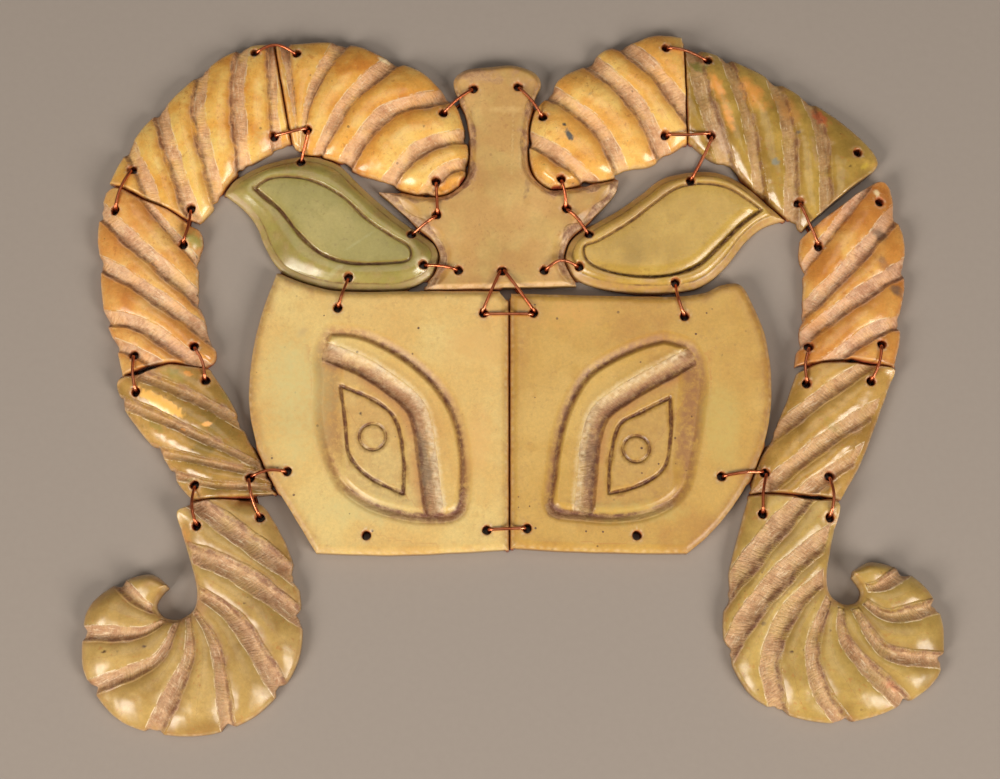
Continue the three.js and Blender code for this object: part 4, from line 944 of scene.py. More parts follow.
        # a ridge swells between its two flutes
        behind = np.minimum(np.where(offset > 0, -depthIn, 99).min(0), nearestOn(places, firstSeam)[0] + 0.8)
        ahead = np.minimum(np.where(offset < 0, -depthIn, 99).min(0), nearestOn(places, lastSeam)[0] + 0.8)
        behind, ahead = np.maximum(behind, 0), np.maximum(ahead, 0)
        ridge = 4 * behind * ahead / ((behind + ahead) ** 2 + 1e-6)
        breadth = np.clip((behind + ahead) / 8, 0, 1.2)
        height = height + cut["swell"] * ridge * breadth * (0.4 + 0.6 * dome)
        height -= cut["fluteDepth"] * profile * (cut["rimDepth"] + (1 - cut["rimDepth"]) * dome)
        radius = np.interp(rim[2], rimReach, rimRadius)
        height -= rounding(rim[0], radius)
        height += 0.06 * uneven(places, 7, seed + 1) + 0.03 * uneven(places, 2.6, seed + 2)
        cutAway = smoothstep(0, 0.8, inFlute)
        height += 0.05 * uneven(places, 1.3, seed + 3) * cutAway
        patchy = cloudy(places, 4.5, seed + 4)
        soft = cloudy(places, 2.0, seed + 5)
        toOuter = nearestOn(places, outerEdge)[0]
        crease = smoothstep(2.2, 0.1, toOuter) * cutAway * smoothstep(0.3, 0.85, patchy) * 0.85
        edge = bell(rim[0], 0.25, 0.25) * soft * 0.55
        dirt = smoothstep(2.0, 0.2, rim[0]) * patchy * 0.6
        dirt = np.maximum(dirt, smoothstep(4.5, 0.4, toOuter) * cutAway * soft * 0.9)
        return {"height": height, "inFlute": inFlute, "lipToWall": np.clip(tHere, -2, 2), "crease": crease,
                "edge": edge, "dirt": dirt, "along": reach[here, row], "across": offset[here, row]}

    return {"outline": outline, "lines": lines, "surface": surface, "step": carving["step"]}


def handCut(line, size, seed):
    # a closed line as an anticlockwise outline, a little uneven
    outline = anticlockwise(line[:-1])
    shift = carving["wobble"] * (1 + uneven(outline, size, seed))
    return outline + inwards(outline) * shift[:, None]


# Ears: a rolled rim with a fine line near its edge, an incised line, and a slightly domed panel
earCarving = {
    "edge": 2.6,
    "crest": 5.45,
    "crestAt": 0.78,  # where the rim is highest, from the outline to the panel
    "innerEdge": 5.1,
    "line": {"half": 0.44, "depth": 0.7},
    "fineLine": {"at": 1.9, "half": 0.32, "depth": 0.22},
    "panel": 5.2,
    "pillow": 4.6,  # how far in the panel is level again
    "lampSide": (0.6, -0.8),  # of a right ear; a left one answers it
}


def earForm(plaque, finish):
    cut, seed = earCarving, finish["seed"]
    outline = handCut(smoothLoop(plaque["outline"], carving["outlineStep"]), 6, seed)
    panel = smoothLoop(plaque["panel"], 0.45)
    turned = anticlockwise(panel[:-1])
    normals = inwards(turned)
    lanes = (-1.1, -0.85, -0.65, -0.45, -0.22, 0, 0.22, 0.45, 0.65, 0.85, 1.1)
    lines = [turned + normals * off for off in lanes]
    ring = closed(turned)
    hand = 1 if outline[:, 0].mean() > 0 else -1
    facing = -closed(normals) @ (np.array(cut["lampSide"]) * (hand, 1))
    rimNormals = inwards(outline)
    lines += [outline + rimNormals * (cut["fineLine"]["at"] + off) for off in (-0.5, -0.25, 0, 0.25, 0.5)]

    def surface(places, rim):
        toPanel, _, panelReach = nearestOn(places, ring)
        towards = np.clip(np.interp(panelReach, reachOf(ring), facing), 0, 1) ** 2
        within = inside(places, panel[:-1])
        share = rim[0] / (rim[0] + toPanel + 1e-6)
        climb = np.clip(share / cut["crestAt"], 0, 1)
        fall = np.clip((share - cut["crestAt"]) / (1 - cut["crestAt"]), 0, 1)
        roll = 0.35 * (1 - (1 - climb) ** 3) + 0.65 * smoothstep(0.08, 0.9, climb)
        height = cut["edge"] + (cut["crest"] - cut["edge"]) * roll
        height -= (cut["crest"] - cut["innerEdge"]) * fall ** 1.8
        slope = fading(toPanel, cut["pillow"]) ** 2
        middle = cut["panel"] - (0.3 + finish["panelFall"] * towards) * slope
        height = np.where(within, middle, height)
        wander = (1 + 0.25 * uneven(places, 9, seed + 6)) * (0.85 + 0.5 * towards)
        half = cut["line"]["half"] * wander
        line = smoothstep(half * 1.15, half * 0.5, toPanel)
        height -= cut["line"]["depth"] * line
        fromFine = np.abs(rim[0] - cut["fineLine"]["at"])
        fine = fading(fromFine, cut["fineLine"]["half"])
        fine *= smoothstep(-0.9, -0.2, uneven(places, 24, seed + 7))
        height -= cut["fineLine"]["depth"] * fine
        height -= rounding(rim[0], 0.6)
        height += 0.04 * uneven(places, 9, seed + 1)
        patchy = cloudy(places, 5, seed + 4)
        thin = cloudy(places, 2.2, seed + 5)
        sides = bell(np.maximum(toPanel - half * 0.5, 0), 0, 0.28)
        # the incised line is dark with dirt, and darker where the panel faces the lamps: painted shade under
        # the step
        crease = np.maximum(sides * (0.4 + 0.45 * thin + 0.5 * towards), fine * (0.5 + 0.5 * thin))
        edge = bell(toPanel - half, 0.5, 0.2) * patchy * 0.4 * ~within
        edge = np.maximum(edge, bell(rim[0], 0.3, 0.3) * thin * 0.6)
        dirt = np.maximum(line * 0.85, smoothstep(1.8, 0.6, toPanel) * 0.35 * patchy)
        outer = smoothstep(cut["fineLine"]["at"] + 0.5, cut["fineLine"]["at"] - 0.5, rim[0])
        dirt = np.maximum(dirt, outer * finish["rimDirt"] * (0.7 + 0.3 * thin))
        dirt = np.maximum(dirt, ~within * 0.6 * finish["rimDirt"] * patchy)
        return {"height": height, "crease": crease, "edge": edge, "dirt": dirt}

    return {"outline": outline, "lines": lines, "surface": surface, "step": carving["step"] * 1.2}


# Flat plates: the forehead, and the two faces with an eye in relief
plateCarving = {
    "thickness": 5.6,
    "bevel": 1.25,
}
foreheadCarving = {
    "thickness": 5,
    "earBevel": {"width": 3.3, "drop": 1.6},  # broad where the wings lie along the ears
    "hornBevel": {"width": 1.7, "drop": 1.4},
    "footBevel": {"width": 1.0, "drop": 1.3},
}
eyeCarving = {
    "moat": {"outer": 3.2, "inner": 1.6, "innerOuterSide": 6.4, "depth": 1.35},
    "lid": {"half": 2.95, "depth": 1.35, "runOut": 4},
    "shoulder": 0.22,  # rise of the polished edges beside the hollows
    "line": {"half": 0.68, "depth": 0.8},
    "pupil": {"radius": 3.8, "half": 0.6, "depth": 0.5},
}


def bevelled(distance, width, drop, power=1.6):
    return drop * fading(distance, width) ** power


def foreheadForm(plaque, finish):
    cut, seed = foreheadCarving, finish["seed"]
    outline = handCut(joined(plaque["outline"], carving["outlineStep"]), 8, seed)
    normals = inwards(outline)
    lines = [outline + normals * off for off in (1.4, 1.8, 2.3, 2.9, 3.5)]
    leftEar, horns, rightEar, foot = (smoothRun(run, 0.6) for run in plaque["outline"])

    def surface(places, rim):
        left, right = nearestOn(places, leftEar), nearestOn(places, rightEar)
        toEar = np.minimum(left[0], right[0])
        reach = np.where(left[0] < right[0], left[2], right[2] + 50)
        toHorn = nearestOn(places, horns)[0]
        toFoot = nearestOn(places, foot)[0]
        wander = 0.8 * uneven(places, 7, seed + 2)
        drop = np.maximum(bevelled(toEar - wander * 0.6, **cut["earBevel"], power=1.25),
                          bevelled(toHorn, **cut["hornBevel"]))
        drop = np.maximum(drop, bevelled(toFoot, **cut["footBevel"], power=1))
        height = cut["thickness"] - drop
        height += 0.05 * uneven(places, 16, seed + 1)
        patchy = cloudy(places, 6, seed + 4)
        fine = cloudy(places, 1.8, seed + 5)
        streaks = cloudy(np.column_stack([reach * 0.22, toEar]), 1.0, seed + 6)
        waist = smoothstep(90, 84, places[:, 1])
        inFlute = np.maximum(cut["earBevel"]["width"] * 0.6 - toEar - wander, (1.7 + wander - toHorn) * waist)
        dirt = smoothstep(5.2, 0.8, toEar + wander) * (0.3 + 0.8 * streaks)
        # painted shade: a darker band and a dark line along the horns' edges, where they lie over the
        # forehead
        dirt = np.maximum(dirt, smoothstep(4, 0.8, toHorn + 1.4 * (1 - patchy)) * 0.5)
        crease = bell(toHorn, 1.5, 0.4) * waist * smoothstep(0.4, 0.9, patchy) * 0.55
        crease = np.maximum(crease, smoothstep(3, 1, toEar) * smoothstep(0.85, 1.3, streaks) * 0.7)
        edge = bell(rim[0], 0.35, 0.3) * fine * 0.7
        edge = np.maximum(edge, smoothstep(3.6, 2, toEar + wander) * smoothstep(0.4, 0, streaks) * 0.9)
        # painted highlight: a thin pale line along the foot bevel
        edge = np.maximum(edge, smoothstep(1.3, 0.7, toFoot) * smoothstep(0.5, 2, toEar))
        return {"height": height, "inFlute": np.clip(inFlute, -6, 6), "lipToWall": np.full(len(places), 0.75),
                "crease": crease, "edge": edge, "dirt": dirt, "along": reach, "across": toEar}

    return {"outline": outline, "lines": lines, "surface": surface, "step": carving["plainStep"]}


def faceForm(plaque, finish):
    cut, eye, seed = plateCarving, eyeCarving, finish["seed"]
    outline = handCut(joined(plaque["outline"], carving["outlineStep"]), 8, seed)
    moat = smoothLoop(plaque["moat"], 0.5)
    lid = evenly(runOn(smoothRun(plaque["lid"], 0.5), eye["lid"]["runOut"]), 0.5)
    almond = joined(plaque["almond"], 0.4)
    pupil = np.array(plaque["pupilAt"], float)
    moatTurned = anticlockwise(moat[:-1])
    normals = inwards(moatTurned)
    lines = [moatTurned + normals * off for off in np.arange(-3.0, 2.2, 0.35)]
    side = squareTo(np.gradient(lid, axis=0))
    lines += [lid + side * off for off in np.arange(-3.3, 3.35, 0.33)]
    almondTurned = anticlockwise(almond[:-1])
    almondNormals = inwards(almondTurned)
    lines += [almondTurned + almondNormals * off for off in (-0.75, -0.5, -0.25, 0, 0.25, 0.5, 0.75)]
    turn = np.linspace(0, 2 * math.pi, 64, endpoint=False)
    circle = np.column_stack([np.cos(turn), np.sin(turn)])
    lines += [pupil + circle * (eye["pupil"]["radius"] + off) for off in (-0.6, -0.4, -0.2, 0, 0.2, 0.4, 0.6)]
    outward = 1 if pupil[0] > 0 else -1  # the side of the plate away from the nose

    def surface(places, rim):
        patchy = cloudy(places, 5, seed + 4)
        fine = cloudy(places, 1.6, seed + 5)
        outwards, upwards = (places - pupil).T * np.array([[outward], [1]])
        noseSide = smoothstep(4, -6, outwards)
        outerSide = smoothstep(2, 9, outwards) * smoothstep(-16, 2, upwards)
        lower = smoothstep(-10, -17, upwards) * (1 - outerSide)
        height = cut["thickness"] - bevelled(rim[0], cut["bevel"] * 1.25, cut["bevel"])
        height += 0.06 * uneven(places, 18, seed + 1)

        toLid, lidSide, lidReach = nearestOn(places, lid)
        offset = toLid * lidSide * np.sign(lid[0, 0] - lid[-1, 0])
        t = offset / eye["lid"]["half"]
        outerSide = outerSide * smoothstep(-1.3, -0.5, t)

        # moat: a soft slope outside, and inside a rounded shoulder that grows long on the outer side
        moatCut = eye["moat"]
        toMoat = nearestOn(places, moat)[0]
        inEye = inside(places, moat[:-1])
        widening = moatCut["innerOuterSide"] - moatCut["inner"]
        innerWidth = moatCut["inner"] + widening * outerSide + 0.9 * lower
        outer = fading(toMoat, moatCut["outer"]) ** 1.5
        inner = fading(toMoat, innerWidth) ** (2 - 0.6 * outerSide)
        moatDepth = moatCut["depth"] * np.where(inEye, inner, outer)

        # lid groove: a long rough slope from its crisp upper lip down to a short wall under it
        lidShape = smoothstep(-1.02, 0.35, t) * (1 - smoothstep(0.66, 1.05, t))
        height -= np.maximum(moatDepth, eye["lid"]["depth"] * lidShape * inEye)
        shoulders = bell(toMoat, innerWidth, 0.9) + bell(t, -1.28, 0.26)
        height += eye["shoulder"] * shoulders * inEye * (toMoat > 0.8) * (1 - lidShape)

        toLine = nearestOn(places, almond)[0]
        line = fading(toLine, eye["line"]["half"] * (0.85 + 0.45 * patchy))
        height -= eye["line"]["depth"] * line
        fromPupil = np.abs(np.hypot(*(places - pupil).T) - eye["pupil"]["radius"])
        ring = fading(fromPupil, eye["pupil"]["half"])
        height -= eye["pupil"]["depth"] * ring

        # the lid's slope and the foot of the moat are left rough, and the hollows are stained
        inLid = np.where(inEye, eye["lid"]["half"] - np.abs(offset), -6)
        roughMoat = np.where(inEye, 0.7, 1.9) * lower - toMoat - 3 * (1 - lower)
        rough = np.maximum(inLid, roughMoat)
        height += 0.06 * uneven(places, 1.3, seed + 3) * smoothstep(0, 0.6, rough)
        lipToWall = np.where(inLid >= roughMoat, t * 0.9, 0.15)
        crease = np.maximum(np.clip(line * 2.4, 0, 1), bell(fromPupil, 0.25, 0.34))
        core = bell(np.maximum(toMoat - 0.3, 0), 0, 0.6)
        crease = np.maximum(crease, core * (0.85 * noseSide + 0.6 * lower * inEye) * (0.6 + 0.5 * patchy))
        crease = np.maximum(crease, bell(t, 0.98, 0.09) * inEye * (toMoat > 1) * 0.7)
        hollow = np.where(inEye, smoothstep(innerWidth * 1.05, innerWidth * 0.5, toMoat),
                          smoothstep(3.6, 0.6, toMoat))
        narrow = np.where(inEye, smoothstep(1.3, 0.2, toMoat), smoothstep(3.6, 0.4, toMoat))
        dirt = (outerSide * hollow + (1 - outerSide) * narrow) * (0.85 + 0.25 * fine)
        floor = smoothstep(-0.5, 0.15, t) * smoothstep(1.05, 0.9, t) * inEye
        dirt = np.maximum(dirt, np.maximum(floor, 0.34 * inEye * (t > 0.9)))
        toOuterEdge = smoothstep(6, 22, outwards)
        toSeam = smoothstep(3.4, 0.2, np.abs(places[:, 0] + 1) + patchy)
        dirt = np.maximum(dirt, smoothstep(4.5, 0.5, rim[0] + patchy) * (0.25 + 0.55 * toOuterEdge))
        dirt = np.maximum(dirt, toSeam * 0.75)
        # painted highlight along the lid's upper crest, and a paler upper slope of the lid groove that is
        # partly whitish grit and partly painted light
        edge = bell(t, -1.1, 0.1) * (0.4 + 0.6 * patchy)
        edge = np.maximum(edge, smoothstep(-1.05, -0.85, t) * smoothstep(-0.15, -0.7, t) * 1.1 * fine)
        edge = edge * inEye * (toMoat > 1)
        edge = np.maximum(edge, bell(rim[0], 0.4, 0.4) * fine * 0.6)
        return {"height": height, "inFlute": np.clip(rough, -6, 6), "lipToWall": lipToWall, "crease": crease,
                "edge": edge, "dirt": dirt, "along": lidReach, "across": offset}

    return {"outline": outline, "lines": lines, "surface": surface, "step": carving["plainStep"]}


# Finishes. Each stone's colours are screen values as seen in daylight; slot names its kind of jade; a spot
# is its place, length, width, turn in degrees, colour and strength.
stoneFinish = {
    "pale": (246, 204, 116),
    "body": (238, 176, 82),
    "deep": (214, 140, 58),
    "flutePale": (238, 190, 144),
    "fluteDeep": (188, 134, 92),
    "crease": (112, 66, 40),
    # pale of worn edges and chips, also used for painted highlights on the flutes' lips, the eyes' lid crests
    # and the forehead's foot
    "edge": (252, 232, 196),
    "dirt": (182, 122, 80),
    # the hole walls: grime and painted shade
    "bore": (186, 82, 42),
    # painted shade of the seams' side walls
    "wall": (150, 66, 42),
    "shadow": (196, 118, 48),  # the side of a ridge that falls away to a flute
    "shade": 0.5,
    # how strongly the foot line shows: dirt in the corner and painted shade
    "foot": 0.7,  # the dark line at the foot of a flute's wall
    "streaks": 0.6,
    "bite": 1,  # how deeply the flutes notch the outline
    "bulge": 0,  # how much wider they are half way along
    "slim": 1,  # width of the flutes against the solid's
    "deepest": 0.4,  # where a flute's floor lies lowest, from -1 at the lip to 1 at the wall
    "speck": (96, 60, 34),
    "freckle": (186, 116, 58),
    "specks": 0.6,
    "freckles": 0.5,
    "cloud": 13,  # size of the cloudy patches, in millimetres
    "gloss": 0.24,
    "fluteGloss": 0.58,
    "fluteCover": 0.88,  # how fully the cut colour hides the polished one
    "dirtCover": 0.7,
    "ragged": 1,
    "saw": 0.5,  # how strongly the flutes show the marks of their cutting
    "lean": 1,  # which side of its flutes is the crisp one
    "stops": (-9, -9),  # how far short of the far and near edges the flutes stop
    "ringed": (),  # holes with a pale chipped ring
    "spots": [],
}
orange, honey, greenish = (240, 168, 84), (238, 186, 104), (156, 146, 76)
grey, rust, chip, dark = (122, 108, 88), (200, 112, 66), (252, 226, 176), (84, 54, 34)
finishes = {
    "left_horn_plaque_1": {
        "seed": 11, "slot": "ochre_jade",
        "spots": [
            (-38.4, 95.5, 4.5, 1.8, -25, chip, 0.9), (-26.1, 74, 1.1, 0.9, 0, dark, 0.6),
            (-24.4, 70.4, 1.4, 1, 30, rust, 0.7), (-26.8, 72.6, 0.7, 0.6, 0, dark, 0.5),
            (-48, 81, 14, 5, 60, honey, 0.3), (-56, 78, 1.1, 0.5, 70, dark, 0.4),
        ],
    },
    "left_horn_plaque_2": {
        "seed": 23, "slot": "ochre_jade", "pale": (250, 210, 120), "body": (240, 180, 84),
        "spots": [
            (-82.8, 74.7, 2.2, 0.4, 20, dark, 0.8), (-82.4, 74.2, 0.5, 1.4, 0, dark, 0.7),
            (-75, 70, 12, 7, 80, (206, 184, 116), 0.35), (-88, 87, 7, 3, 70, rust, 0.3),
        ],
    },
    "left_horn_plaque_3": {
        "seed": 37, "slot": "ochre_jade", "pale": (238, 190, 110), "body": (224, 158, 80),
        "deep": (202, 130, 64), "saw": 0.9, "flutePale": (242, 200, 156), "fluteDeep": (190, 138, 102),
        "slim": 0.92,
        "spots": [
            (-93.2, 40.2, 8.5, 5.5, -50, (172, 160, 88), 0.75), (-95, 37.3, 4.5, 2, -45, chip, 0.65),
            (-92.6, 35.4, 2.2, 0.35, -60, dark, 0.8), (-92.3, 24.3, 1.6, 0.35, -70, dark, 0.8),
            (-112, 42, 8, 4, -50, rust, 0.3), (-98, 8, 16, 5, -30, (190, 140, 118), 0.4),
            (-104, 20, 12, 4, -35, (240, 206, 150), 0.4),
        ],
    },
    "left_horn_plaque_4": {
        "seed": 41, "slot": "olive_jade", "lean": -1, "pale": (208, 164, 92), "body": (178, 140, 70),
        "deep": (150, 122, 58), "flutePale": (214, 170, 124), "fluteDeep": (154, 114, 76), "saw": 0.7,
        "fluteCover": 0.8, "ragged": 1.4, "slim": 0.88, "deepest": 0.15, "foot": 0.5,
        "shadow": (146, 106, 50),
        "spots": [
            (-101.4, -8.4, 15, 3.4, -30, (254, 198, 104), 2),
            (-88, -14.6, 3.2, 1.7, 10, (250, 186, 104), 1.1),
            (-94, 0.2, 3.2, 1.8, -20, orange, 1), (-92, -22, 1.2, 1.1, 0, dark, 0.6),
            (-95, -16, 2.2, 1.1, -20, orange, 0.7), (-98, 0, 10, 4, -30, greenish, 0.55),
            (-82, -6, 9, 5, -60, greenish, 0.5), (-92, -31, 9, 3, 0, greenish, 0.45),
            (-103, -15, 9, 3, -35, greenish, 0.5),
        ],
    },
    "left_horn_curl": {
        "seed": 53, "slot": "olive_jade", "lean": -1, "pale": (206, 172, 104), "body": (186, 152, 86),
        "deep": (166, 130, 70), "flutePale": (216, 172, 132), "fluteDeep": (164, 118, 84), "saw": 1,
        "stops": (0.8, -9), "gloss": 0.3, "deepest": 0.1, "foot": 0.65, "shadow": (150, 106, 58),
        "streaks": 0.7, "bite": 1.8, "bulge": 0.25,
        "spots": [
            (-91.5, -66, 17, 13, 60, (208, 160, 118), 0.55), (-103, -60, 9, 4, 30, (190, 146, 104), 0.4),
            (-104.4, -78.4, 1.6, 1.1, 10, dark, 0.8), (-115.7, -79.9, 1.9, 1, 10, dark, 0.8),
            (-112, -79.8, 0.8, 0.7, 0, dark, 0.75), (-76.3, -66.2, 1.2, 0.9, 0, dark, 0.65),
            (-75.4, -64.4, 0.8, 0.6, 0, dark, 0.55), (-94, -46, 5, 9, 20, orange, 0.45),
            (-66, -63, 1.1, 0.8, 0, dark, 0.5),
        ],
    },
    "right_horn_plaque_1": {
        "seed": 61, "slot": "ochre_jade", "pale": (250, 208, 120), "body": (242, 182, 90),
        "deep": (222, 154, 70),
        "spots": [
            (16.6, 71.3, 4.4, 2, -60, (84, 80, 72), 1), (15.2, 74.6, 1.5, 1.2, 0, (90, 84, 74), 0.9),
            (9.2, 62.6, 0.9, 0.8, 0, dark, 0.65), (23, 84, 3.2, 1.4, 30, grey, 0.4),
        ],
    },
    "right_horn_plaque_2": {
        "seed": 71, "slot": "olive_jade", "pale": (204, 168, 84), "body": (176, 142, 66),
        "deep": (154, 122, 52), "flutePale": (216, 174, 128), "fluteDeep": (160, 118, 78), "gloss": 0.2,
        "saw": 0.4, "fluteCover": 0.72, "ragged": 1.5, "shadow": (150, 106, 46), "deepest": 0.25,
        "spots": [
            (60.4, 86.5, 12, 4.4, -65, orange, 0.75), (63.6, 77, 11, 3.4, -72, orange, 0.7),
            (71, 84.5, 15, 7, -60, orange, 0.65), (81, 80, 15, 7, -55, (206, 150, 80), 0.65),
            (91, 77.5, 8, 4, -45, rust, 0.8), (77.2, 63.4, 3, 2.6, 0, (140, 134, 108), 0.95),
            (84.1, 72.5, 2, 1.6, 0, grey, 0.7), (55, 93, 7, 4, -20, (140, 134, 60), 0.7),
            (99, 62, 1.6, 0.9, 30, dark, 0.6), (103.5, 62.5, 4, 2, 40, (206, 176, 70), 0.75),
            (62, 70, 14, 4, -70, (206, 174, 148), 0.5), (89, 66, 16, 3, -80, (196, 160, 128), 0.4),
        ],
    },
    "right_horn_plaque_3": {
        "seed": 83, "slot": "ochre_jade", "pale": (232, 180, 98), "body": (214, 147, 68),
        "deep": (190, 120, 52), "flutePale": (232, 186, 148), "fluteDeep": (172, 120, 88), "saw": 0.6,
        "spots": [
            (107.4, 41.6, 7, 4.8, -50, (128, 98, 74), 0.7), (111.9, 25.2, 6, 4, -50, (128, 98, 76), 0.7),
            (106.8, 54.2, 3, 2, -30, chip, 0.75), (108, 33, 8, 4, -50, (150, 108, 86), 0.5),
        ],
    },
    "right_horn_plaque_4": {
        "seed": 97, "slot": "olive_jade", "pale": (206, 164, 88), "body": (184, 144, 70),
        "deep": (162, 124, 58), "flutePale": (222, 178, 130), "fluteDeep": (168, 122, 80), "saw": 0.9,
        "stops": (1.6, -9), "deepest": 0.15, "foot": 0.5, "shadow": (152, 112, 56),
        "spots": [(92, -15, 9, 4, -40, greenish, 0.4), (78, -24, 7, 3, -40, (206, 160, 80), 0.4)],
    },
    "right_horn_curl": {
        "seed": 101, "slot": "olive_jade", "pale": (204, 172, 98), "body": (186, 154, 82),
        "deep": (166, 134, 68), "flutePale": (226, 182, 138), "fluteDeep": (168, 122, 84), "saw": 1.4,
        "stops": (1.6, -9), "gloss": 0.3, "slim": 1.05, "deepest": 0.15, "foot": 0.75,
        "shadow": (144, 104, 54), "bite": 1.7, "bulge": 0.3,
        "spots": [
            (71, -71.9, 2, 1.5, 0, dark, 0.6), (78.8, -79.9, 1.6, 1.2, 20, dark, 0.8),
            (90, -73.9, 1, 0.8, 0, dark, 0.7), (107.2, -89.4, 7, 3.4, -30, (222, 146, 104), 0.5),
            (91, -62, 15, 11, -60, (202, 156, 112), 0.5),
        ],
    },
    "left_ear_plaque": {
        "seed": 113, "slot": "green_jade", "pale": (180, 166, 96), "body": (162, 151, 80),
        "deep": (148, 137, 68), "crease": (112, 66, 42), "dirt": (172, 130, 92), "edge": (216, 200, 156),
        "freckle": (140, 120, 64), "cloud": 20, "specks": 0.2, "rimDirt": 0.9, "panelFall": 0.1,
        "gloss": 0.19, "ringed": (2,),
        "spots": [(-52, 31, 14, 2, 40, (190, 184, 130), 0.5), (-45, 40, 16, 1.2, 35, (186, 180, 120), 0.45)],
    },
    "right_ear_plaque": {
        "seed": 127, "slot": "yellow_jade", "pale": (214, 180, 92), "body": (198, 162, 76),
        "deep": (178, 144, 64), "crease": (92, 54, 34), "dirt": (184, 134, 94), "edge": (234, 208, 160),
        "freckle": (166, 130, 62), "cloud": 20, "specks": 0.3, "rimDirt": 1, "panelFall": 1.5,
        "gloss": 0.25,
    },
    "forehead_plaque": {
        "seed": 131, "slot": "khaki_jade", "pale": (224, 190, 116), "body": (206, 174, 99),
        "deep": (188, 156, 84), "flutePale": (226, 188, 150), "fluteDeep": (174, 130, 96),
        "fluteCover": 0.75, "ragged": 1.6, "dirt": (170, 122, 86), "edge": (240, 208, 168),
        "freckle": (170, 126, 74), "cloud": 22, "specks": 0.4, "gloss": 0.32,
        "spots": [
            (0, 70, 26, 1, 88, (226, 196, 128), 0.5), (2.2, 66, 18, 0.8, 90, (230, 200, 132), 0.5),
            (4.5, 58, 14, 2.6, 80, (140, 100, 74), 0.45), (-2, 80, 14, 3, 0, (226, 190, 120), 0.5),
            (12, 44, 14, 8, 30, (220, 184, 104), 0.45),
        ],
    },
    "left_face_plaque": {
        "seed": 139, "slot": "cream_jade", "pale": (230, 202, 128), "body": (226, 188, 110),
        "deep": (216, 170, 92), "flutePale": (220, 184, 148), "fluteDeep": (150, 112, 82),
        "fluteCover": 0.8, "crease": (102, 50, 28), "dirt": (164, 112, 70), "dirtCover": 0.85,
        "edge": (248, 230, 192), "freckle": (196, 150, 88), "cloud": 26, "specks": 1, "freckles": 0.35,
        "gloss": 0.34, "saw": 0.3, "ragged": 1.2,
        "spots": [
            (-43.8, -11.4, 2, 0.5, -50, dark, 0.9), (-11, 8, 24, 20, 0, (228, 184, 108), 0.5),
            (-61, 13, 5, 2.5, 40, (206, 160, 100), 0.5), (-10, -20, 10, 30, 0, (230, 182, 108), 0.45),
            (-25.5, -25, 27, 5, -82, (146, 124, 94), 0.65), (-63, -8, 26, 56, 0, (216, 202, 136), 0.55),
            (-44, -39, 44, 12, 0, (218, 202, 136), 0.45),
        ],
    },
    "right_face_plaque": {
        "seed": 149, "slot": "cream_jade", "pale": (216, 178, 96), "body": (206, 164, 78),
        "deep": (194, 146, 66), "flutePale": (206, 170, 128), "fluteDeep": (142, 108, 78),
        "fluteCover": 0.8, "crease": (98, 46, 26), "dirt": (156, 106, 70), "dirtCover": 0.85,
        "edge": (242, 222, 180), "freckle": (184, 140, 78), "cloud": 26, "specks": 1, "freckles": 0.4,
        "gloss": 0.32, "saw": 0.3, "ragged": 1.2,
        "spots": [
            (61, 6, 2.6, 0.7, 50, dark, 0.7), (22.2, -25, 26, 4.6, 87, (140, 108, 78), 0.6),
            (18, 18, 28, 12, 10, (226, 172, 90), 0.45), (60, -14, 16, 34, 10, (206, 182, 100), 0.5),
            (34, -40, 44, 9, 0, (206, 184, 104), 0.45),
        ],
    },
}
for name, own in finishes.items():
    finishes[name] = {**stoneFinish, **own}


class Nodes:
    # node helpers: a value or a socket may stand for any input
    def __init__(self, tree):
        self.tree = tree

    def add(self, kind, values=None, **settings):
        made = self.tree.nodes.new(kind)
        for key, value in settings.items():
            setattr(made, key, value)
        for key, value in (values or {}).items():
            self.put(made.inputs[key], value)
        return made

    def put(self, socket, value):
        if isinstance(value, bpy.types.NodeSocket):
            self.tree.links.new(value, socket)
        else:
            socket.default_value = value

    def calc(self, operation, a, b=0.0):
        made = self.add("ShaderNodeMath", operation=operation)
        self.put(made.inputs[0], a)
        self.put(made.inputs[1], b)
        return made.outputs[0]

    def times(self, a, b):
        return self.calc("MULTIPLY", a, b)

    def plus(self, a, b):
        return self.calc("ADD", a, b)

    def blend(self, share, a, b, how="MIX"):
        made = self.add("ShaderNodeMix", data_type="RGBA", blend_type=how)
        self.put(made.inputs[0], share)
        self.put(made.inputs[6], a)
        self.put(made.inputs[7], b)
        return made.outputs[2]

    def between(self, value, low, high, lowOut=0.0, highOut=1.0):
        made = self.add("ShaderNodeMapRange", {"Value": value, "From Min": low, "From Max": high,
                                               "To Min": lowOut, "To Max": highOut},
                        interpolation_type="SMOOTHSTEP")
        return made.outputs[0]

    def mask(self, name):
        return self.add("ShaderNodeAttribute", attribute_name=name).outputs["Fac"]

    def place(self):
        return self.add("ShaderNodeTexCoord").outputs["Object"]

    def noise(self, values, dimensions="3D"):
        return self.add("ShaderNodeTexNoise", values, noise_dimensions=dimensions).outputs["Fac"]

    def group(self, key):
        return self.add("ShaderNodeGroup", node_tree=groups[key])


def makeGroup(name, inputs, outputs):
    # an input with a tuple is a colour and so is an output called Color; all others are values
    tree = bpy.data.node_groups.new(name, "ShaderNodeTree")
    for label, value in inputs.items():
        kind = "NodeSocketColor" if isinstance(value, tuple) else "NodeSocketFloat"
        socket = tree.interface.new_socket(name=label, in_out="INPUT", socket_type=kind)
        socket.default_value = value
    for label in outputs:
        kind = "NodeSocketColor" if label == "Color" else "NodeSocketFloat"
        tree.interface.new_socket(name=label, in_out="OUTPUT", socket_type=kind)
    nodes = Nodes(tree)
    entry = nodes.add("NodeGroupInput").outputs
    leave = nodes.add("NodeGroupOutput").inputs
    return tree, nodes, entry, leave


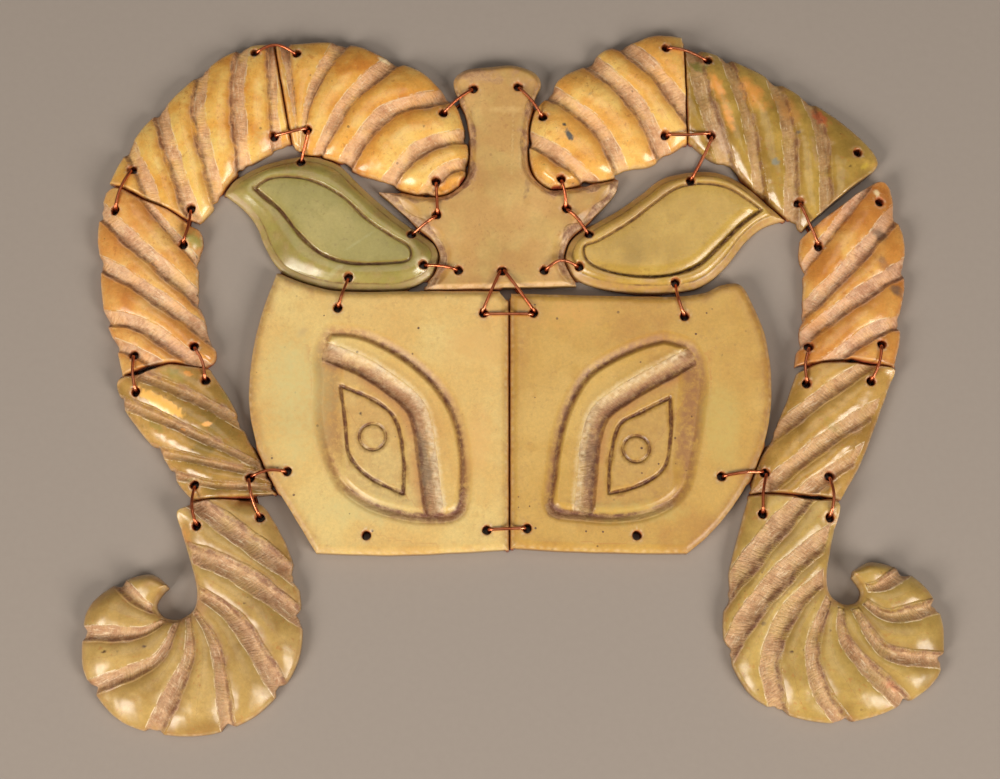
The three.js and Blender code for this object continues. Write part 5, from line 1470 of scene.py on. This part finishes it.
def cloudyStoneGroup():
    # three shades of stone in soft clouds with fine veins between them and a fine grain over all
    white = (1, 1, 1, 1)
    tree, nodes, entry, leave = makeGroup(
        "cloudyStone", {"Pale": white, "Body": white, "Deep": white, "Scale": 80.0, "Seed": 0.0,
                        "Grain": 0.07}, ["Color"])
    place = nodes.place()
    big = nodes.noise({"Vector": place, "W": entry["Seed"], "Scale": entry["Scale"], "Detail": 5.0,
                       "Roughness": 0.55, "Distortion": 0.4}, "4D")
    fineScale = nodes.times(entry["Scale"], 5.5)
    small = nodes.noise({"Vector": place, "W": entry["Seed"], "Scale": fineScale, "Detail": 4.0,
                         "Roughness": 0.65}, "4D")
    colour = nodes.blend(nodes.between(big, 0.36, 0.56), entry["Pale"], entry["Body"])
    colour = nodes.blend(nodes.between(big, 0.52, 0.7), colour, entry["Deep"])
    colour = nodes.blend(nodes.between(small, 0.5, 0.72, 0.0, 0.45), colour, entry["Deep"])
    colour = nodes.blend(nodes.between(small, 0.46, 0.3, 0.0, 0.35), colour, entry["Pale"])
    grit = nodes.noise({"Vector": place, "Scale": 1150.0, "Detail": 4.0, "Roughness": 0.75})
    darkest = nodes.calc("SUBTRACT", 1.0, entry["Grain"])
    palest = nodes.plus(1.0, entry["Grain"])
    shade = nodes.between(grit, 0.3, 0.7, darkest, palest)
    nodes.put(leave["Color"], nodes.blend(1.0, colour, shade, "MULTIPLY"))
    return tree


def mineralSpecksGroup():
    # small dark inclusions scattered unevenly, and paler freckles in drifts
    tree, nodes, entry, leave = makeGroup(
        "mineralSpecks", {"Amount": 0.5, "Scale": 620.0}, ["Mask", "Freckles"])
    place = nodes.place()
    warp = nodes.noise({"Vector": place, "Scale": 900.0, "Detail": 2.0})
    cells = nodes.add("ShaderNodeTexVoronoi", {"Vector": place, "Scale": entry["Scale"], "Randomness": 1.0})
    pick = nodes.add("ShaderNodeSeparateColor", {"Color": cells.outputs["Color"]}).outputs[0]
    size = nodes.between(pick, 0.9, 1.0, 0.0, 0.34)
    reach = nodes.plus(cells.outputs["Distance"], nodes.times(warp, 0.16))
    dot = nodes.between(nodes.calc("SUBTRACT", size, reach), -0.04, 0.06)
    drift = nodes.noise({"Vector": place, "Scale": 60.0, "Detail": 2.0})
    patch = nodes.between(drift, 0.44, 0.6, 0.15, 1.0)
    nodes.put(leave["Mask"], nodes.times(nodes.times(dot, patch), entry["Amount"]))
    flecks = nodes.noise({"Vector": place, "Scale": 780.0, "Detail": 3.0, "Roughness": 0.6})
    drifts = nodes.noise({"Vector": place, "Scale": 150.0, "Detail": 3.0})
    freckles = nodes.times(nodes.between(flecks, 0.56, 0.68), nodes.between(drifts, 0.42, 0.62))
    nodes.put(leave["Freckles"], freckles)
    return tree


def fluteLookGroup():
    # where the stone is cut back: crisp along the lip, ragged and soft towards the wall, thin in patches;
    # with a painted highlight along the lip, a dark foot line of dirt and painted shade, and painted shade
    # beyond the wall
    tree, nodes, entry, leave = makeGroup(
        "fluteLook", {"Ragged": 1.0}, ["Mask", "LipHighlight", "FootDirtAndShade", "Shade", "Stain", "Clouds"])
    depth = nodes.mask("inFlute")
    side = nodes.mask("lipToWall")
    place = nodes.place()
    drift = nodes.noise({"Vector": place, "Scale": 360.0, "Detail": 5.0, "Roughness": 0.75})
    wander = nodes.noise({"Vector": place, "Scale": 140.0, "Detail": 2.0})
    toWall = nodes.between(side, -0.7, 0.5)
    swing = nodes.times(nodes.between(toWall, 0.0, 1.0, 0.4, 3.2), entry["Ragged"])
    sway = nodes.times(nodes.between(toWall, 0.0, 1.0, 0.8, 3.6), entry["Ragged"])
    ragged = nodes.plus(depth, nodes.times(nodes.calc("SUBTRACT", drift, 0.5), swing))
    ragged = nodes.plus(ragged, nodes.times(nodes.calc("SUBTRACT", wander, 0.5), sway))
    low = nodes.between(toWall, 0.0, 1.0, -0.12, -0.3)
    high = nodes.between(toWall, 0.0, 1.0, 0.3, 1.2)
    cover = nodes.between(wander, 0.32, 0.56, 0.5, 1.0)
    nodes.put(leave["Mask"], nodes.times(nodes.between(ragged, low, high), cover))
    # painted highlight: a thin broken pale line along the lip
    nearEdge = nodes.between(nodes.calc("ABSOLUTE", nodes.plus(depth, 0.08)), 0.0, 0.24, 1.0, 0.0)
    broken = nodes.between(drift, 0.44, 0.56)
    onLip = nodes.times(nodes.between(side, 0.2, -0.4), broken)
    nodes.put(leave["LipHighlight"], nodes.times(nearEdge, onLip))
    # the dark line at the wall's foot: dirt in the corner and painted shade
    fromFoot = nodes.calc("ABSOLUTE", nodes.calc("SUBTRACT", side, nodes.between(wander, 0.3, 0.7, 0.5, 0.8)))
    foot = nodes.times(nodes.between(fromFoot, 0.04, 0.4, 1.0, 0.0), nodes.between(depth, -0.1, 0.3))
    nodes.put(leave["FootDirtAndShade"], nodes.times(foot, nodes.between(drift, 0.36, 0.6, 0.1, 1.0)))
    shade = nodes.times(nodes.between(side, 1.9, 0.9), nodes.between(side, 0.5, 0.9))
    nodes.put(leave["Shade"], nodes.times(shade, nodes.between(wander, 0.3, 0.6, 0.3, 1.0)))
    nodes.put(leave["Stain"], nodes.between(drift, 0.5, 0.66))
    nodes.put(leave["Clouds"], nodes.between(nodes.plus(drift, wander), 0.85, 1.32))
    return tree


def sawMarksGroup():
    # fine cuts that cross a flute from lip to wall, and the grit between them
    tree, nodes, entry, leave = makeGroup(
        "sawMarks", {"Pitch": 0.6}, ["Height", "Mask", "Grit", "Streak"])
    along = nodes.mask("along")
    across = nodes.mask("across")
    frequency = nodes.calc("DIVIDE", 1.0, entry["Pitch"])
    slant = nodes.plus(along, nodes.times(across, 0.35))
    vector = nodes.add("ShaderNodeCombineXYZ", {"X": nodes.times(slant, frequency),
                                                "Y": nodes.times(across, 0.4)}).outputs[0]
    cuts = nodes.noise({"Vector": vector, "Scale": 1.0, "Detail": 3.0, "Roughness": 0.6}, "2D")
    place = nodes.place()
    grit = nodes.noise({"Vector": place, "Scale": 1250.0, "Detail": 4.0, "Roughness": 0.7})
    where = nodes.noise({"Vector": place, "Scale": 130.0, "Detail": 2.0})
    strength = nodes.between(where, 0.36, 0.6, 0.3, 1.0)
    both = nodes.plus(nodes.times(cuts, 0.65), nodes.times(grit, 0.35))
    nodes.put(leave["Height"], both)
    nodes.put(leave["Mask"], nodes.times(nodes.between(both, 0.44, 0.6), strength))
    nodes.put(leave["Grit"], nodes.between(grit, 0.52, 0.68))
    drawn = nodes.add("ShaderNodeCombineXYZ", {"X": nodes.times(along, 0.22),
                                               "Y": nodes.times(across, 1.5)}).outputs[0]
    streak = nodes.noise({"Vector": drawn, "Scale": 1.0, "Detail": 4.0, "Roughness": 0.7}, "2D")
    drawnMask = nodes.between(streak, 0.52, 0.68)
    nodes.put(leave["Streak"], nodes.times(drawnMask, nodes.between(where, 0.6, 0.4)))
    return tree


def handPolishGroup():
    # faint waves and hair scratches of a hand-rubbed surface
    tree, nodes, entry, leave = makeGroup("handPolish", {"Scratches": 0.4}, ["Height", "Mask"])
    place = nodes.place()
    waves = nodes.noise({"Vector": place, "Scale": 260.0, "Detail": 3.0})
    turned = nodes.add("ShaderNodeMapping", {"Vector": place, "Rotation": (0.0, 0.0, 0.9),
                                             "Scale": (160.0, 2600.0, 900.0)}).outputs[0]
    hairs = nodes.noise({"Vector": turned, "Scale": 1.0, "Detail": 2.0})
    scratched = nodes.times(nodes.between(hairs, 0.6, 0.72), entry["Scratches"])
    nodes.put(leave["Height"], waves)
    nodes.put(leave["Mask"], nodes.calc("MAXIMUM", nodes.between(waves, 0.5, 0.7, 0.0, 0.5), scratched))
    return tree


groups = {
    "stone": cloudyStoneGroup(),
    "specks": mineralSpecksGroup(),
    "flute": fluteLookGroup(),
    "saw": sawMarksGroup(),
    "polish": handPolishGroup(),
}


def newMaterial(name):
    material = bpy.data.materials.new(name)
    material.use_nodes = True
    tree = material.node_tree
    return material, Nodes(tree), tree.nodes["Principled BSDF"].inputs


# What all the stones share: nephrite bends light a little more than glass and glows just under its skin
jade = {
    "IOR": 1.61,
    "Subsurface Weight": 0.12,
    "Subsurface Radius": (1.0, 0.6, 0.3),
    "Subsurface Scale": 0.0015,
}
layering = {
    "stain": 0.5,  # how strongly each layer of colour covers the one below
    "saw": 0.45,
    "grit": 0.3,
    "pale": 0.7,
    "crease": 0.95,
    "rubbed": 0.12,  # height of the polish's waves against that of the saw marks
    "relief": 0.0004,  # height of the saw marks, in metres
    "reliefShare": 0.8,
}


def stoneMaterial(name, finish):
    material, nodes, shader = newMaterial(name)
    tones = {key: linear(value) for key, value in finish.items()
             if isinstance(value, tuple) and len(value) == 3}
    parts = ("stone", "saw", "polish", "specks", "flute")
    stone, saw, polish, specks, look = (nodes.group(key) for key in parts)
    for key, value in (("Pale", tones["pale"]), ("Body", tones["body"]), ("Deep", tones["deep"]),
                       ("Scale", 1000 / finish["cloud"]), ("Seed", finish["seed"] * 0.37)):
        stone.inputs[key].default_value = value
    specks.inputs["Amount"].default_value = finish["specks"]
    look.inputs["Ragged"].default_value = finish["ragged"]
    flute = look.outputs["Mask"]
    crease, edge, dirt, bore = (nodes.mask(key) for key in ("crease", "edge", "dirt", "bore"))
    tint = nodes.add("ShaderNodeAttribute", attribute_name="tint")
    ragged = nodes.noise({"Vector": nodes.place(), "Scale": 520.0, "Detail": 4.0, "Roughness": 0.7})
    uneven = nodes.between(ragged, 0.3, 0.62, 0.35, 1.0)

    def over(share, amount, below, above):
        return nodes.blend(nodes.times(share, amount), below, above)

    colour = over(specks.outputs["Freckles"], finish["freckles"], stone.outputs["Color"], tones["freckle"])
    cut = nodes.blend(look.outputs["Clouds"], tones["flutePale"], tones["fluteDeep"])
    cut = over(look.outputs["Stain"], layering["stain"], cut, tones["dirt"])
    cut = over(saw.outputs["Mask"], layering["saw"] * finish["saw"], cut, tones["fluteDeep"])
    cut = over(saw.outputs["Grit"], layering["grit"], cut, tones["edge"])
    cut = over(saw.outputs["Streak"], finish["streaks"], cut, tones["edge"])
    colour = over(look.outputs["Shade"], finish["shade"], colour, tones["shadow"])
    colour = over(flute, finish["fluteCover"], colour, cut)
    colour = over(nodes.times(dirt, uneven), finish["dirtCover"], colour, tones["dirt"])
    colour = nodes.blend(specks.outputs["Mask"], colour, tones["speck"])
    stained = nodes.plus(tint.outputs["Alpha"], nodes.times(ragged, 0.7))
    stained = nodes.between(stained, 0.45, 1.2)
    colour = nodes.blend(stained, colour, tint.outputs["Color"])
    # the dark foot line: dirt and painted shade
    colour = over(look.outputs["FootDirtAndShade"], finish["foot"], colour, tones["crease"])
    # pale worn edges and chips, with the painted lip highlight over them
    pale = nodes.calc("MAXIMUM", nodes.times(edge, uneven), look.outputs["LipHighlight"])
    colour = over(pale, layering["pale"], colour, tones["edge"])
    colour = over(nodes.times(crease, uneven), layering["crease"], colour, tones["crease"])
    # painted shade: the seams' side walls in a darker reddish brown
    colour = nodes.blend(nodes.mask("wall"), colour, tones["wall"])
    # the hole walls in a darker reddish brown: grime and painted shade
    colour = nodes.blend(bore, colour, tones["bore"])
    nodes.put(shader["Base Color"], colour)

    matt = nodes.calc("MAXIMUM", nodes.times(flute, 0.9), nodes.times(dirt, 0.6))
    matt = nodes.calc("MAXIMUM", matt, bore)
    rough = nodes.between(matt, 0.0, 1.0, finish["gloss"], finish["fluteGloss"])
    rough = nodes.plus(rough, nodes.times(polish.outputs["Mask"], 0.12))
    nodes.put(shader["Roughness"], rough)

    cutDeep = nodes.between(nodes.mask("inFlute"), -0.2, 0.4, 0.0, 0.5 + finish["saw"])
    sawn = nodes.times(saw.outputs["Height"], cutDeep)
    rubbed = nodes.times(polish.outputs["Height"], layering["rubbed"])
    bump = nodes.add("ShaderNodeBump", {"Height": nodes.plus(sawn, rubbed), "Distance": layering["relief"],
                                        "Strength": layering["reliefShare"]})
    nodes.put(shader["Normal"], bump.outputs["Normal"])
    for key, value in jade.items():
        shader[key].default_value = value
    return material


copperFinish = {
    "bright": (232, 148, 108),
    "body": (206, 114, 76),
    # painted shade: the copper's colour deep inside a hole
    "holeShade": (122, 58, 36),
    "patch": 8,  # size of its cloudy patches, in millimetres
    "gloss": 0.3,
}


def copperMaterial():
    material, nodes, shader = newMaterial("drawn_copper")
    made = nodes.group("stone")
    bright, body, holeShade = (linear(copperFinish[key]) for key in ("bright", "body", "holeShade"))
    for key, value in (("Pale", bright), ("Body", body), ("Deep", body), ("Seed", 4.0), ("Grain", 0.04),
                       ("Scale", 1000 / copperFinish["patch"])):
        made.inputs[key].default_value = value
    # painted shade: the copper darkens deeper inside a hole
    nodes.put(shader["Base Color"], nodes.blend(nodes.mask("bore"), made.outputs["Color"], holeShade))
    polish = nodes.group("polish")
    gloss = copperFinish["gloss"]
    rough = nodes.between(polish.outputs["Mask"], 0.0, 1.0, gloss, gloss + 0.15)
    nodes.put(shader["Roughness"], rough)
    shader["Metallic"].default_value = 1
    return material


wire = {
    "radius": 0.44,
    "sides": 12,
    "legOffset": 0.56,  # from the middle of its hole
    "level": 0.55,  # height of the run behind
    "clear": 0.05,  # how closely it passes over the stone
    "mouth": 0.9,  # how far from its leg it still crosses the worn mouth
    "sink": 0.55,  # how far lower it may start there
    "samples": 30,
    # painted shade: below this height the copper darkens towards its hole-shade colour
    "pitch": 0.28,  # spacing of the rings along it
    "darkBelow": 4.5,  # where it starts to dull inside a hole
    "darkOver": 3,  # and over what depth
}
makers = ((hornPlaques, hornForm), (ears, earForm), ([foreheadPlaque], foreheadForm), (facePlaques, faceForm))
plaques = {plaque["name"]: plaque for group, _ in makers for plaque in group}


def legPlaces():
    # where each tie's legs stand in their holes: towards each other, or side by side in a shared hole
    uses = {}
    for name, plaqueA, holeA, plaqueB, holeB, *_ in ties:
        ends = ((plaqueA, holeA), (plaqueB, holeB))
        for (here, number), (there, other) in (ends, ends[::-1]):
            centre = np.array(plaques[here]["holes"][number], float)
            towards = np.array(plaques[there]["holes"][other], float) - centre
            towards /= np.hypot(*towards)
            uses.setdefault((here, number), []).append((name, centre, towards))
    legs = {}
    for shared in uses.values():
        for name, centre, towards in shared:
            others = [use[2] for use in shared if use[0] != name]
            side = towards - others[0] if others else towards
            legs.setdefault(name, []).append(centre + side / np.hypot(*side) * wire["legOffset"])
    for name, plaque, hole, *_ in ties:
        first = np.array(plaques[plaque]["holes"][hole], float)
        legs[name].sort(key=lambda place: np.hypot(*(place - first)))
    return legs


legs = legPlaces()
forms = {}
for group, maker in makers:
    for plaque in group:
        finish = finishes[plaque["name"]]
        form = maker(plaque, finish)
        form["outline"] = withinBox(form["outline"])
        form["holes"] = plaque["holes"]
        forms[plaque["name"]] = {**form, "spots": finish["spots"], "ringed": finish["ringed"]}

stones = []
for name, form in forms.items():
    finish = finishes[name]
    others = np.vstack([other["outline"] for key, other in forms.items() if key != name])
    form["toOthers"] = gapTo(form["outline"], others)
    grooves = [legs[tie[0]] for tie in ties if name in (tie[1], tie[3])]
    stone = carveStone(name + "_carved", form, grooves)
    stone.data.materials.append(stoneMaterial(name + "_stone", finish))
    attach(stone, "root")
    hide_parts(name)
    stones.append(stone)
    print("carved", name, len(stone.data.polygons), "faces")

# Copper ties
vertices, faces = [], []
for stone in stones:
    first = len(vertices)
    vertices += [tuple(vertex.co / mm) for vertex in stone.data.vertices]
    faces += [tuple(first + i for i in face.vertices) for face in stone.data.polygons]
tree = BVHTree.FromPolygons(vertices, faces)


def surfaceAt(place):
    # height of the stones there; in a seam the wire may hang as low as it likes
    above, seam = 20, -5
    hit = tree.ray_cast(Vector((place[0], place[1], above)), Vector((0, 0, -1)))[0]
    return hit.z if hit else seam


def tautOver(shares, heights):
    # the line of a string pulled tight over the heights
    hull = []
    for point in zip(shares, heights):
        while len(hull) > 1:
            (x1, y1), (x2, y2) = hull[-2:]
            if (x2 - x1) * (point[1] - y1) - (y2 - y1) * (point[0] - x1) < 0:
                break
            hull.pop()
        hull.append(point)
    return hull


def tieLoop(a, b, sway, arch):
    # the closed path of one wire: up a hole, over the seam, down the other hole and back behind
    reach = np.hypot(*(b - a))
    along = (b - a) / reach
    across = np.array([-along[1], along[0]])
    shares = np.arange(wire["samples"] + 1) / wire["samples"]
    places = [a + (b - a) * share + across * sway * math.sin(math.pi * share) for share in shares]
    floor = []
    for place in places:
        tops = [surfaceAt(place + across * side * wire["radius"]) for side in (-1, 0, 1)]
        floor.append(max(tops) + (wire["radius"] + wire["clear"]))
    floor = np.array(floor)
    edge = 2 * (wire["mouth"] / reach)
    ends = [floor[shares <= edge].max(), floor[shares >= 1 - edge].max()]
    floor[0], floor[-1] = (end - wire["sink"] for end in ends)
    height = np.interp(shares, *zip(*tautOver(shares, floor)))
    height += arch * np.sin(math.pi * shares)
    height = np.minimum(height, cadBox[1][2] / mm - wire["radius"] - carving["boxMargin"])
    over = list(zip(places, height))
    level = wire["level"]
    path = [(a, level), (a, (level + height[0]) / 2)] + over + [(b, (level + height[-1]) / 2), (b, level)]
    path += [(b + (a - b) * share, level) for share in (0.25, 0.5, 0.75)]
    path = np.array([(x, y, z) for (x, y), z in path])
    for _ in range(3):
        following = np.roll(path, -1, axis=0)
        corners = [path * 0.75 + following * 0.25, path * 0.25 + following * 0.75]
        path = np.stack(corners, axis=1).reshape(-1, 3)
    return evenLoop(path, wire["pitch"]), across


def evenLoop(path, pitch):
    ring = np.vstack([path, path[:1]])
    reach = np.concatenate([[0], np.cumsum(np.linalg.norm(np.diff(ring, axis=0), axis=1))])
    at = np.linspace(0, reach[-1], int(reach[-1] / pitch), endpoint=False)
    return np.column_stack([np.interp(at, reach, ring[:, k]) for k in range(3)])


def drawWire(name, path, across, radius):
    # a round wire along a closed path that lies close to one upright plane
    tangent = np.roll(path, -1, axis=0) - np.roll(path, 1, axis=0)
    tangent /= np.linalg.norm(tangent, axis=1)[:, None]
    flat = np.array([across[0], across[1], 0.0])
    side = flat - tangent * (tangent @ flat)[:, None]
    side /= np.linalg.norm(side, axis=1)[:, None]
    up = np.cross(tangent, side)
    turn = np.arange(wire["sides"]) * 2 * math.pi / wire["sides"]
    rings = path[:, None] + radius * (side[:, None] * np.cos(turn)[None, :, None]
                                      + up[:, None] * np.sin(turn)[None, :, None])
    count, sides = len(path), wire["sides"]
    ring, k = np.meshgrid(np.arange(count), np.arange(sides), indexing="ij")
    following, beside = (ring + 1) % count, (k + 1) % sides
    faces = np.stack([ring * sides + k, ring * sides + beside, following * sides + beside,
                      following * sides + k], axis=-1).reshape(-1, 4)
    mesh = bpy.data.meshes.new(name)
    mesh.from_pydata((rings.reshape(-1, 3) * mm).tolist(), [], faces.tolist())
    mesh.polygons.foreach_set("use_smooth", np.ones(len(mesh.polygons), bool))
    # painted shade: how far down a hole each ring lies
    holeShade = (wire["darkBelow"] - rings[..., 2]) / wire["darkOver"]
    addValues(mesh, "bore", np.clip(holeShade, 0, 1).ravel())
    mesh.update()
    return intoScene(name, mesh)


bends = {row[0]: row[5:] for row in ties}
copper = copperMaterial()
for name, (a, b) in legs.items():
    path, across = tieLoop(a, b, *bends[name])
    tie = drawWire(name + "_wire", path, across, wire["radius"])
    tie.data.materials.append(copper)
    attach(tie, "root")
    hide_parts(name)
print("drawn", len(legs), "ties")

# Floor
floorMesh = bpy.data.meshes.new("floor")
far = studio["floorReach"] * mm
floorMesh.from_pydata([(-far, -far, 0), (far, -far, 0), (far, far, 0), (-far, far, 0)], [], [(0, 1, 2, 3)])
floor = intoScene("floor", floorMesh)
floorMaterial, floorNodes, board = newMaterial("backing_board")
grain = floorNodes.noise({"Vector": floorNodes.place(), "Scale": studio["floorGrain"], "Detail": 3.0})
tone = linear(studio["floorColour"])
paler = tuple(min(1, part * studio["floorPaler"]) for part in tone[:3]) + (1,)
floorNodes.put(board["Base Color"], floorNodes.blend(grain, tone, paler))
board["Roughness"].default_value = studio["floorRoughness"]
board["Specular IOR Level"].default_value = studio["floorShine"]
floorMesh.materials.append(floorMaterial)
